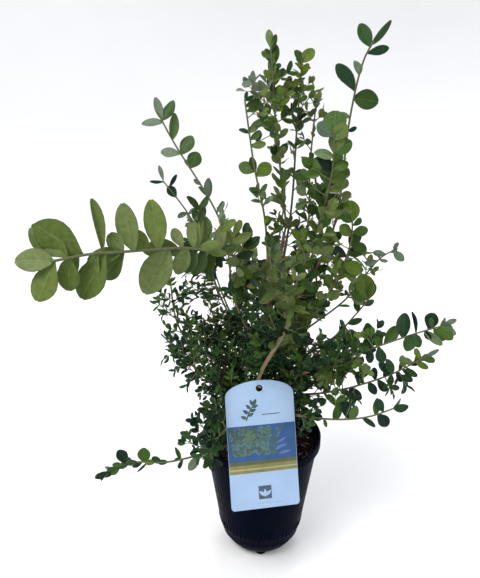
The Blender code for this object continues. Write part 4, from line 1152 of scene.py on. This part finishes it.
def lay_sprays(lay):
    """The picture's leafy sprays, each leaf only where it lies inside the picture."""
    left, low, right, high = PICTURE
    draw = random.Random(SPRAY_SEED)
    for spray in range(SPRAYS):
        x = left + 2.0 + SPRAY_SPAN * spray / SPRAYS + draw.uniform(-1.5, 1.5)
        y = low + draw.uniform(2.0, 7.0)
        angle = draw.uniform(62.0, 104.0)
        for node in range(draw.randint(7, 10)):
            x += SPRAY_STEP * math.cos(math.radians(angle))
            y += SPRAY_STEP * math.sin(math.radians(angle))
            angle += draw.uniform(-5.0, 5.0)
            for turn in (-SPRAY_OPEN, SPRAY_OPEN):
                length = draw.uniform(3.6, 5.6)
                heading = angle + turn + draw.uniform(-12.0, 12.0)
                tip_x = x + length * math.cos(math.radians(heading))
                tip_y = y + length * math.sin(math.radians(heading))
                inside_x = left + EDGE < min(x, tip_x) and max(x, tip_x) < right - EDGE
                if inside_x and low + EDGE < min(y, tip_y) and max(y, tip_y) < high - EDGE:
                    kind = "mist" if draw.random() < 0.2 else SPRAY_KINDS[spray % 6]
                    lay(leaf_loop((x, y), heading, length, length * 0.46), kind, 2 + (spray + node) % 6)


# ======== Trunk, boughs and stems ========

def trunk_radius(height):
    above = height - SOIL_TOP
    flare = (FLARE_RADIUS - TRUNK_RADIUS) * math.exp(-above / FLARE_HEIGHT)
    share = min(above / (TRUNK_WAY[-1][2] - SOIL_TOP), 1.0)
    return TRUNK_RADIUS + (TRUNK_TIP_RADIUS - TRUNK_RADIUS) * share + flare


def on_trunk(points, height):
    """The point of the trunk's axis at a height."""
    for before, after in zip(points, points[1:]):
        if before.z <= height <= after.z:
            return before.lerp(after, (height - before.z) / (after.z - before.z))
    return points[-1]


def shoot_way(shoot, trunk, radius):
    """A shoot's smooth way, from clear of the trunk to its tip."""
    if shoot.root == TOP:
        along = (trunk[-1] - trunk[-2]).normalized()
        start = trunk[-1] + along * GAP
        return smooth_way((start, start + along * 8.0, *shoot.way), WAY_POINTS)
    axis = on_trunk(trunk, shoot.root)
    course = (Vector(shoot.way[0]) - axis).normalized()
    outward = Vector((course.x, course.y, 0.0)).normalized()
    tilt = math.sqrt(max(1.0 - course.dot(outward) ** 2, 0.0))
    away = trunk_radius(shoot.root - 3.0) + GAP + radius * tilt
    return smooth_way((axis + outward * away, *shoot.way), WAY_POINTS)


def bark_relief(points, radii, seed, node_step, collar=0.0):
    """The surface of a limb: fissures along it, rough flakes, swollen nodes and a collar at its root."""
    step = length_of(points) / (len(points) - 1)
    shift = Vector((seed * 3.7, seed * 1.3, 0.0))

    def radius_at(ring, angle):
        radius = radii[ring]
        along = ring * step
        turn = Vector(polar(1.0, angle))
        fissure = noise.noise(turn * FISSURE_ROUND + UP * (along * FISSURE_ALONG) + shift)
        flakes = turn * FLAKE_ROUND * max(radius, 1.0) + UP * (along * FLAKE_ALONG) + shift
        relief = 1.0 + FISSURE_HEIGHT * fissure + FLAKE_HEIGHT * noise.fractal(flakes, 0.8, 2.0, 3)
        from_node = (along / node_step - round(along / node_step)) * node_step
        relief += NODE_SWELL * math.exp(-(from_node / NODE_WIDTH) ** 2)
        relief += collar * math.exp(-along / COLLAR_LENGTH)
        return radius * relief

    return radius_at


def root_flare(radius_at, points):
    """Adds the lobes of the trunk's root flare just above the compost."""
    def with_lobes(ring, angle):
        above = max(points[ring].z - SOIL_TOP, 0.0)
        lobes = 0.5 + 0.5 * math.cos(angle * FLARE_LOBES + 0.7 * math.sin(angle * 2.0))
        return radius_at(ring, angle) * (1.0 + LOBE_HEIGHT * lobes * math.exp(-above / LOBE_FADE))
    return with_lobes


def droop(run):
    """Lowers the last stretch of the near arch, which hangs a little under its own leaves."""
    def lowered(point):
        share = 1.0 - (point - run[-1]).length / NEAR_DROOP_LENGTH
        return point - SEEN_UP * NEAR_DROOP * max(share, 0.0) ** 2
    return [lowered(point) for point in run]


def make_trunk(material):
    """The trunk's bark. Gives the points of its axis."""
    foot = UP * (SOIL_TOP + GAP)
    rise = [foot + UP * height for height in TRUNK_FOOT_STEPS]
    trunk = rise + smooth_way((foot + UP * TRUNK_START, *TRUNK_WAY), 9)
    fine = smooth_way([trunk[0] - UP * TRUNK_SUNK, *trunk[1:]], int(length_of(trunk) / BARK_STEP))
    radii = [trunk_radius(max(point.z, SOIL_TOP)) for point in fine]
    relief = root_flare(bark_relief(fine, radii, 1, TRUNK_NODES), fine)
    make_piece("trunk_bark", "bark", ["trunk"], 70.0, tube_mesh(fine, relief, TRUNK_SIDES), material)
    return trunk


def make_bough(shoot, way, radius, seed, material):
    bough = piece_of(way, 0.0, shoot.cuts[-1])
    root = bough[0] - (bough[1] - bough[0]).normalized() * BOUGH_SUNK
    rough = [root, *bough[::4], bough[-1]]
    fine = smooth_way(rough, max(6, int(length_of(rough) / BARK_STEP)))
    relief = bark_relief(fine, taper(radius, BOUGH_TIP_RADIUS, len(fine)), seed, BOUGH_NODES, COLLAR)
    ends = ("",) if len(shoot.cuts) == 1 else ("_lower", "_upper")
    nodes = [f"{shoot.name}_bough{end}" for end in ends]
    make_piece(f"{shoot.name}_bark", "bark", nodes, 70.0, tube_mesh(fine, relief, BARK_SIDES), material)


def make_limbs(materials):
    """Bark meshes for the trunk and every bough. Gives the trunk, and each shoot's stem and leafy run."""
    trunk = make_trunk(materials["bark"])
    runs = {}
    for seed, shoot in enumerate(SHOOTS, start=2):
        near = shoot.name == NEAR
        radius = NEAR_BOUGH_RADIUS if near else BOUGH_RADIUS
        way = shoot_way(shoot, trunk, radius if shoot.cuts else STEM_RADIUS)
        total = length_of(way)
        first = bare = 0.0
        if shoot.cuts:
            make_bough(shoot, way, radius, seed, materials["young_bark"])
            first = shoot.cuts[-1] + GAP / total
            bare = shoot.cuts[-1] * HABITS[shoot.name].bare
        last = 1.0 - (NEAR_END if near else STEM_END) * shoot.reach / total
        lines = (piece_of(way, first, last), piece_of(way, bare, last))
        runs[shoot.name] = [droop(line) for line in lines] if near else lines
    return trunk, runs


def make_spur(material):
    """The short dead twig that the tag hangs on."""
    plane = tag_matrix()
    middle = plane @ (Vector((0.0, TAG_HOLE_HEIGHT + SPUR_LIFT, 0.0)) * MM) / MM
    front = (plane.to_3x3() @ UP).normalized()
    ends = [middle + front * (SPUR_FRONT * share - SPUR_BACK * (1 - share)) for share in SPUR_SHARES]
    ends[0] -= front * SPUR_ROOT
    fine = smooth_way(ends, SPUR_RINGS)
    radii = taper(SPUR_RADIUS * 1.15, SPUR_RADIUS * 0.65, SPUR_RINGS)
    relief = bark_relief(fine, radii, SPUR_SEED, SPUR_NODES)
    make_piece("tag_spur_wood", "bark", ["tag_spur"], 70.0, tube_mesh(fine, relief, 12, tip=0.5), material)


# ======== Leaves ========

def leaf_breadth(share, broadest):
    """Width of the leaf at a share of its length: oval, broadest a little past its middle."""
    wave = math.sin(math.pi * (share * 0.995) ** (math.log(0.5) / math.log(broadest)))
    return max(wave, 0.0) ** (BASE_ROUND if share < broadest else TIP_ROUND)


def leaf_form(rows, columns, broadest, fold, curl, cup, twist):
    """A leaf 1 long along +X and 1 wide, closed, its upper side to +Z.

    Gives its points, its quads and the part of the leaf that each quad belongs to.
    """
    count = len(columns)
    points = []
    for share in rows:
        half = 0.5 * max(leaf_breadth(share, broadest), LEAST_BREADTH)
        turn = twist * share
        for side in columns:
            y = half * side
            rib = abs(side) < 0.1
            bulge = TIP_BULGE * (1.0 - side * side) - NOTCH * rib if share == rows[-1] else 0.0
            z = fold * abs(y) + cup * y * y * 4.0 - curl * share * share - RIB_DEPTH * rib
            points.append((share + bulge, y * math.cos(turn) - z * math.sin(turn),
                           z * math.cos(turn) + y * math.sin(turn)))
    below = []
    for number in range(len(points)):
        row, column = divmod(number, count)
        if row in (0, len(rows) - 1) or column in (0, count - 1):
            below.append(number)
        else:
            below.append(len(points))
            x, y, z = points[number]
            points.append((x, y, z - LEAF_THICK))
    quads = []
    parts = []
    for row in range(len(rows) - 1):
        for column in range(count - 1):
            first = row * count + column
            corners = [first, first + count, first + count + 1, first + 1]
            place = abs(columns[column] + columns[column + 1]) / 2
            quads += [corners, [below[corner] for corner in corners[::-1]]]
            parts += [RIB if place < 0.01 else MARGIN if place > 0.9 else UPPER, UNDER]
    return np.array(points), quads, parts


def leaf_forms(rows, columns, seed):
    """A set of leaves that fold, curl and cup a little differently."""
    draw = random.Random(seed)
    return [leaf_form(rows, columns, *(draw.uniform(*ends) for ends in LEAF_RANGES))
            for _ in range(LEAF_FORMS)]


# ======== Growth ========

Placed = namedtuple("Placed", "tree low high")


def surface(points, faces):
    points = [Vector(point) for point in points]
    low = Vector(map(min, zip(*points)))
    high = Vector(map(max, zip(*points)))
    return Placed(BVHTree.FromPolygons(points, faces), low, high)


def overlap(piece, others):
    for other in others:
        apart = any(piece.low[n] > other.high[n] or other.low[n] > piece.high[n] for n in range(3))
        if not apart and piece.tree.overlap(other.tree):
            return True
    return False


class Room:
    """What stands already: the solids, and every leaf, found quickly by the cell it is in."""

    def __init__(self, solids):
        self.solids = solids
        self.cells = {}

    def cells_of(self, piece):
        spans = [range(int(piece.low[n] // CELL), int(piece.high[n] // CELL) + 1) for n in range(3)]
        return [(x, y, z) for x in spans[0] for y in spans[1] for z in spans[2]]

    def clear(self, blade):
        """Whether a leaf's blade clears every solid and every other leaf's blade."""
        if overlap(blade, self.solids):
            return False
        near = {id(item): item for cell in self.cells_of(blade) for item in self.cells.get(cell, ())}
        return not overlap(blade, near.values())

    def keep(self, blade):
        for cell in self.cells_of(blade):
            self.cells.setdefault(cell, []).append(blade)


def blade_of(base, course, face, length, width):
    """What a leaf's blade takes up, a little less than its outline: a flat six-cornered bipyramid."""
    side = face.cross(course).normalized()
    top = course.cross(side)
    start = base + course * length * BLADE_START
    reach = length * BLADE_LENGTH
    points = [start + course * reach * x + side * (length * width * BLADE_WIDTH) * y for x, y in BLADE]
    middle = start + course * reach * BLADE_MIDDLE
    points += [middle + top * BLADE_THICK, middle - top * BLADE_THICK]
    faces = [(n, (n + 1) % 6, 6) for n in range(6)] + [((n + 1) % 6, n, 7) for n in range(6)]
    return surface(points, faces)


def jitter(draw, size):
    return Vector([draw.uniform(-size, size) for _ in range(3)])


def leaf_face(base, course, along, draw):
    """The way a leaf's upper side looks: outward, to the bright front, up and a little to the tip."""
    outward = Vector((base.x - CROWN_MIDDLE, base.y, 0.0))
    outward = outward.normalized() if outward.length > 1.0 else FRONT
    face = outward * FACE_OUT + FRONT * FACE_FRONT + UP * FACE_UP + along * FACE_ALONG
    face += jitter(draw, FACE_JITTER)
    face -= course * face.dot(course)
    return face.normalized() if face.length > 0.1 else course.orthogonal().normalized()


def across(along):
    """Two directions square to a stem, the second toward its upper side."""
    level = along.cross(UP)
    level = level.normalized() if level.length > 0.05 else RIGHT
    return level, level.cross(along).normalized()


def spread(along, angle, opening):
    """A direction that leaves a stem at the opening angle; level stems hold their leaves flat."""
    level, upper = across(along)
    flat = 1.0 - FLATTEN * math.hypot(along.x, along.y)
    outward = (level * math.cos(angle) + upper * math.sin(angle) * flat).normalized()
    return (along * math.cos(opening) + outward * math.sin(opening)).normalized()


def before_tag(point):
    """Whether a point lies in front of the hang tag, or less than a margin beside it."""
    ahead = point - Vector(TAG_FOOT)
    turned = tag_matrix().to_3x3()
    normal = turned @ UP
    near = ahead.dot(normal) / TAG_SEEN_FROM.dot(normal)
    place = turned.inverted() @ (ahead - TAG_SEEN_FROM * near)
    beside = abs(place.x) < TAG_WIDTH / 2 + TAG_CLEAR
    return near > 0.0 and beside and -TAG_CLEAR < place.y < TAG_TOP + TAG_CLEAR


def before_sky(point):
    """Whether a point hides a gap where the photograph shows the sky."""
    ray = point - Vector(EYE) / MM
    scale = FOCUS / -ray.dot(SEEN_NEAR)
    right = PHOTO_MIDDLE[0] + ray.dot(RIGHT) * scale
    down = PHOTO_MIDDLE[1] - ray.dot(SEEN_UP) * scale
    return any(((right - x) / wide) ** 2 + ((down - y) / tall) ** 2 < 1.0 for x, y, wide, tall in SKY_GAPS)


def kept_off(start, end):
    """Whether a leaf or twig between two points would hide the tag or a gap in the crown."""
    return any(before_tag(spot) or before_sky(spot) for spot in (end, start.lerp(end, 0.5)))


class Crown:
    """The leaves and twigs of every group of shoots, and the room that they share."""

    def __init__(self, room, leaf_paints, wood_paints):
        self.room = room
        self.forms = (leaf_forms(PLAIN_ROWS, PLAIN_COLUMNS, 4), leaf_forms(FULL_ROWS, FULL_COLUMNS, 3))
        self.leaf_paints = leaf_paints
        self.wood_paints = wood_paints
        self.leaves = {}
        self.twigs = {}

    def start(self, group, run):
        self.group = group
        self.run = evenly(run, 40)
        self.leaves.setdefault(group, Heap())
        self.twigs.setdefault(group, Heap())

    def near_run(self, point):
        return min((point - spot).length_squared for spot in self.run) <= REACH * REACH

    def put_leaf(self, base, course, face, length, width, tone, draw):
        side = face.cross(course).normalized()
        points, quads, parts = draw.choice(self.forms[length >= BIG_LEAF])
        turn = np.array((course, side, course.cross(side)))
        placed = points * (length, length * width, length) @ turn + np.array(base - course * ROOTED)
        self.leaves[self.group].add(placed, quads, self.leaf_paints[tone], parts)

    def add_leaf(self, base, course, along, length, habit, tone, draw):
        course = (course + jitter(draw, COURSE_JITTER)).normalized()
        width = habit.width * draw.uniform(*SIZES)
        for share in SHORTER:
            size = length * share
            face = leaf_face(base, course, along, draw)
            if not self.near_run(base + course * size * 0.6) or kept_off(base, base + course * size):
                continue
            blade = blade_of(base, course, face, size, width)
            if self.room.clear(blade):
                self.room.keep(blade)
                self.put_leaf(base, course, face, size, width, tone, draw)
                return

    def hold_leaf(self, base, held, tone, draw):
        """A leaf in a given pose, as seen by the viewer in front."""
        course = seen(held.heading, held.toward)
        face = SEEN_NEAR - course * SEEN_NEAR.dot(course)
        face = Matrix.Rotation(math.radians(held.roll), 3, course) @ face.normalized()
        self.room.keep(blade_of(base, course, face, held.length, held.width))
        self.put_leaf(base, course, face, held.length, held.width, tone, draw)

    def add_twig(self, points, radius, tip_radius, wood, sides):
        radii = taper(radius, tip_radius, len(points))
        mesh = tube_mesh(points, lambda ring, angle: radii[ring], sides)
        self.twigs[self.group].add(*mesh, [self.wood_paints[wood]])


def leafy_twig(crown, habit, base, course, length, draw, fine=False):
    """A side twig that turns up a little, with pairs of leaves, fine twigs on it and a leafy tip."""
    rise = UP * length * TWIG_RISE * draw.uniform(*TWIG_RISES)
    end = base + course * length + rise
    if kept_off(base, end):
        return
    room_needed = (base + course * TWIG_CLEAR, end, base.lerp(end, 0.5) + rise * 0.4 + UP * 0.2)
    if overlap(surface(room_needed, [(0, 1, 2)]), crown.room.solids):
        return
    middle = base + course * length * 0.5 + rise * 0.25
    points = smooth_way((base - course * ROOTED, middle, end), TWIG_POINTS)
    radius = FINE_TWIG_RADIUS if fine else TWIG_RADIUS
    crown.add_twig(points, radius, radius * TWIG_TAPER, "green_twig", 5 if fine else 6)
    tone = draw.choice(TONES[habit.tones])
    leaf = habit.leaf * draw.uniform(*TWIG_LEAF_SIZES) * (LAST_LEAF if fine else 1.0)
    nodes = max(1, round(length / (habit.leaf * TWIG_STEP)))
    line = evenly(points, nodes * TWIG_NODE + 1)
    angle = draw.uniform(0.0, math.pi)
    for number in range(1, nodes + 1):
        last = number == nodes
        node = number * TWIG_NODE
        spot = line[-1] - course * ROOTED if last else line[node]
        along = (line[min(node + 1, nodes * TWIG_NODE)] - line[node - 1]).normalized()
        branches = not fine and not last and length > BRANCHING and number % 2 == 1
        for turn in (0.0, math.pi):
            if branches:
                heading = spread(along, angle + turn, TWIG_OPEN)
                short = length * FINE_SHARE * (1.0 - 0.4 * number / nodes) * draw.uniform(*FINE_SIZES)
                leafy_twig(crown, habit, spot, heading, short, draw, fine=True)
            else:
                heading = spread(along, angle + turn, TWIG_END_OPEN if last else math.radians(habit.opening))
                crown.add_leaf(spot + along * PAIR_OFFSET * (turn > 0), heading, along,
                               leaf * (LAST_LEAF if last else 1.0), habit, tone, draw)
        angle += math.pi / 2


def tuft(crown, habit, base, course, along, tone, draw):
    """A short bud shoot in a leaf's axil, with two young leaves."""
    heading = (course * 0.6 + along * 0.8).normalized()
    tip = base + heading * habit.leaf * TUFT_LENGTH
    middle = base.lerp(tip, 0.5)
    crown.add_twig([base, middle, tip], FINE_TWIG_RADIUS, FINE_TWIG_RADIUS * 0.7, "green_twig", 5)
    angle = draw.uniform(0.0, math.pi)
    for turn in (0.0, math.pi):
        leafward = spread(heading, angle + turn, TWIG_END_OPEN)
        crown.add_leaf(tip, leafward, heading, habit.leaf * draw.uniform(*TUFT_SIZES), habit, tone, draw)


def hold_leaves(crown, name, run, draw):
    """Sets the leaves that are held in a given pose. Gives how far back from the tip they reach."""
    tones, rows = HELD[name]
    leaves = [Held(*row) for row in rows]
    for held in leaves:
        tone = draw.choice(TONES[held.tones or tones])
        crown.hold_leaf(back_from_tip(run, held.back), held, tone, draw)
    return max(held.back for held in leaves) + HELD_CLEAR


def grow(crown, name, habit, stem, run):
    """Clothes one shoot by the rule for opposite leaves, with twigs at every so many nodes."""
    draw = random.Random(habit.seed)
    crown.start(habit.group, run)
    total = length_of(run)
    root = stem[0] - (stem[1] - stem[0]).normalized() * STEM_SUNK
    tube = smooth_way([root, *stem[::3], stem[-1]], max(8, int(length_of(stem) / STEM_STEP)))
    crown.add_twig(tube, STEM_RADIUS, STEM_TIP_RADIUS, "stem", 8)
    fine = evenly(run, max(2, int(total / FINE_STEP)) + 1)
    end = total - (hold_leaves(crown, name, fine, draw) if name in HELD else 0.0)
    step = total / (len(fine) - 1)
    for row in HELD_TWIGS.get(name, ()):
        twig = HeldTwig(*row)
        clothed = habit._replace(tones=twig.tones or habit.tones)
        course = seen(twig.heading, twig.toward)
        leafy_twig(crown, clothed, back_from_tip(fine, twig.back), course, twig.length, draw)
    turn = draw.uniform(0.0, math.pi)
    tone = draw.choice(TONES[habit.tones])
    number = 0
    distance = habit.step * 0.5
    young = habit
    # Near a shoot's root the leaves take darker tones: their age, plus painted shade deep in the crown.
    older_shaded_tones, older_shaded_share = OLDER_AND_SHADED.get(habit.tones, (habit.tones, 0.0))
    while distance < end:
        habit = young._replace(tones=older_shaded_tones) if distance < total * older_shaded_share else young
        number += 1
        place = min(max(int(distance / step), 1), len(fine) - 2)
        base = fine[place]
        along = (fine[place + 1] - fine[place - 1]).normalized()
        angle = turn + number * math.pi / 2 + draw.uniform(-TURN_JITTER, TURN_JITTER)
        share = distance / total
        if number % TONE_NODES == 0:
            tone = draw.choice(TONES[habit.tones])
        branches = number % habit.every == 0 and share < LAST_BRANCH
        for half in (0.0, math.pi):
            base = base + along * PAIR_OFFSET
            course = spread(along, angle + half, TWIG_OPEN if branches else math.radians(habit.opening))
            if branches:
                length = habit.side * (SIDE_START - SIDE_FALL * share) * draw.uniform(*TWIG_SIZES)
                leafy_twig(crown, habit, base, course, length, draw)
                continue
            length = habit.leaf * draw.uniform(*LEAF_SIZES) * (1.0 - LEAF_FALL * share)
            crown.add_leaf(base, course, along, length, habit, tone, draw)
            if draw.random() < habit.tuft:
                tuft(crown, habit, base, course, along, tone, draw)
        distance += habit.step * draw.uniform(*SIZES)
    if name not in HELD:
        end_leaves(crown, habit, fine, turn, tone, draw)


def end_leaves(crown, habit, fine, turn, tone, draw):
    """A pair of leaves and a pair of small ones at a shoot's tip."""
    along = (fine[-1] - fine[-3]).normalized()
    for half, size, opening, back in END_LEAVES:
        course = spread(along, turn + half, END_OPEN * opening)
        crown.add_leaf(fine[-1] - along * back, course, along, habit.leaf * size, habit, tone, draw)


def sprout(crown, trunk):
    """Short leafy twigs all round the trunk, inside the crown."""
    draw = random.Random(SPROUT.seed)
    crown.start(SPROUT.group, trunk)
    low, high = SPROUT_HEIGHTS
    for number in range(SPROUTS):
        height = low + (high - low) * (number + 0.5) / SPROUTS
        level = Vector(polar(1.0, number * GOLDEN_ANGLE, draw.uniform(0.1, 0.7))).normalized()
        base = on_trunk(trunk, height) + level * (trunk_radius(height) - 1.0)
        leafy_twig(crown, SPROUT, base, level, SPROUT.side * draw.uniform(*SPROUT_SIZES), draw)


def frame_surface(name):
    """A CAD node's surface in millimetres, as something that leaves are kept clear of."""
    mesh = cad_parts[name].data
    points = [vert.co / MM for vert in mesh.vertices]
    return surface(points, [tuple(face.vertices) for face in mesh.polygons])


def make_crown(trunk, runs, wood):
    room = Room([frame_surface(name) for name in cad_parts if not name.endswith("_foliage")])
    paints = {tone: leaf_materials(f"{name}_{number}", tone)
              for name, tones in TONES.items() for number, tone in enumerate(tones)}
    crown = Crown(room, paints, wood)
    for shoot in SHOOTS:
        grow(crown, shoot.name, HABITS[shoot.name], *runs[shoot.name])
    sprout(crown, trunk)
    for group in crown.leaves:
        nodes = [f"{name}_foliage" for name, habit in HABITS.items() if habit.group == group]
        crown.leaves[group].make(f"leaves_{group}", GROUP_SLOTS[group], nodes, 75.0)
        crown.twigs[group].make(f"twigs_{group}", "bark", nodes, 75.0)


# ======== Floor, light and camera ========

def make_stage():
    """A pale floor that sweeps up all round, so that no edge shows behind the plant. In metres."""
    profile = [(FLOOR_FLAT * share, 0.0) for share in FLOOR_RINGS]
    for number in range(FLOOR_STEPS + 1):
        x, y, _height = polar(FLOOR_CURVE, math.pi / 2 * number / FLOOR_STEPS)
        profile.append((FLOOR_FLAT + y, FLOOR_CURVE - x))
    profile.append((FLOOR_FLAT + FLOOR_CURVE, WALL_TOP))
    rows = [(0.0, 0.0, 0.0), *turned_rows(profile, FLOOR_TURNS)]
    faces = [(0, 1 + turn, 1 + (turn + 1) % FLOOR_TURNS) for turn in range(FLOOR_TURNS)]
    mesh = bpy.data.meshes.new("pale_floor")
    mesh.from_pydata(rows, [], faces + flipped(ring_faces(len(profile), FLOOR_TURNS, 1)))
    mesh.shade_smooth()
    pale = ((0.3, (0.80, 0.80, 0.81)), (0.7, (0.82, 0.82, 0.83)))
    dull = (("Roughness", 0.9), ("Specular IOR Level", 0.1))
    mesh.materials.append(noisy_material("pale_floor", (2.0,), pale, sockets=dull))
    floor = link("pale_floor", mesh)


def make_light(name, place, size, power, colour):
    lamp = bpy.data.lights.new(name, "AREA")
    lamp.shape = "DISK"
    lamp.size = size
    lamp.energy = power
    lamp.color = colour
    light = link(name, lamp)
    light.location = place
    light.rotation_euler = (Vector(LIGHTS_AIM) - Vector(place)).to_track_quat("-Z", "Y").to_euler()
    light.visible_camera = False


def make_lights():
    world = bpy.data.worlds.new("soft_sky")
    world.use_nodes = True
    sky = world.node_tree.nodes["Background"]
    sky.inputs["Color"].default_value = SKY_COLOUR
    sky.inputs["Strength"].default_value = SKY_STRENGTH
    bpy.context.scene.world = world
    for light in LIGHTS:
        make_light(*light)


def make_camera():
    lens = bpy.data.cameras.new("photo_view")
    lens.sensor_fit = "VERTICAL"
    lens.sensor_height = SENSOR
    lens.lens = LENS
    camera = link("photo_view", lens)
    camera.location = EYE
    camera.rotation_euler = (EYE_PITCH, 0.0, 0.0)
    bpy.context.scene.camera = camera


def main():
    bpy.context.scene.view_settings.view_transform = "Standard"
    make_camera()
    make_lights()
    make_stage()
    wood = {kind: bark_material(*tones) for kind, tones in WOOD.items()}
    plastic = pot_material()
    soil = soil_material()
    make_pot(plastic)
    make_feet(plastic)
    make_soil(soil)
    make_soil_bits(soil)
    make_tag()
    make_spur(wood["dead_wood"])
    make_crown(*make_limbs(wood), wood)


main()
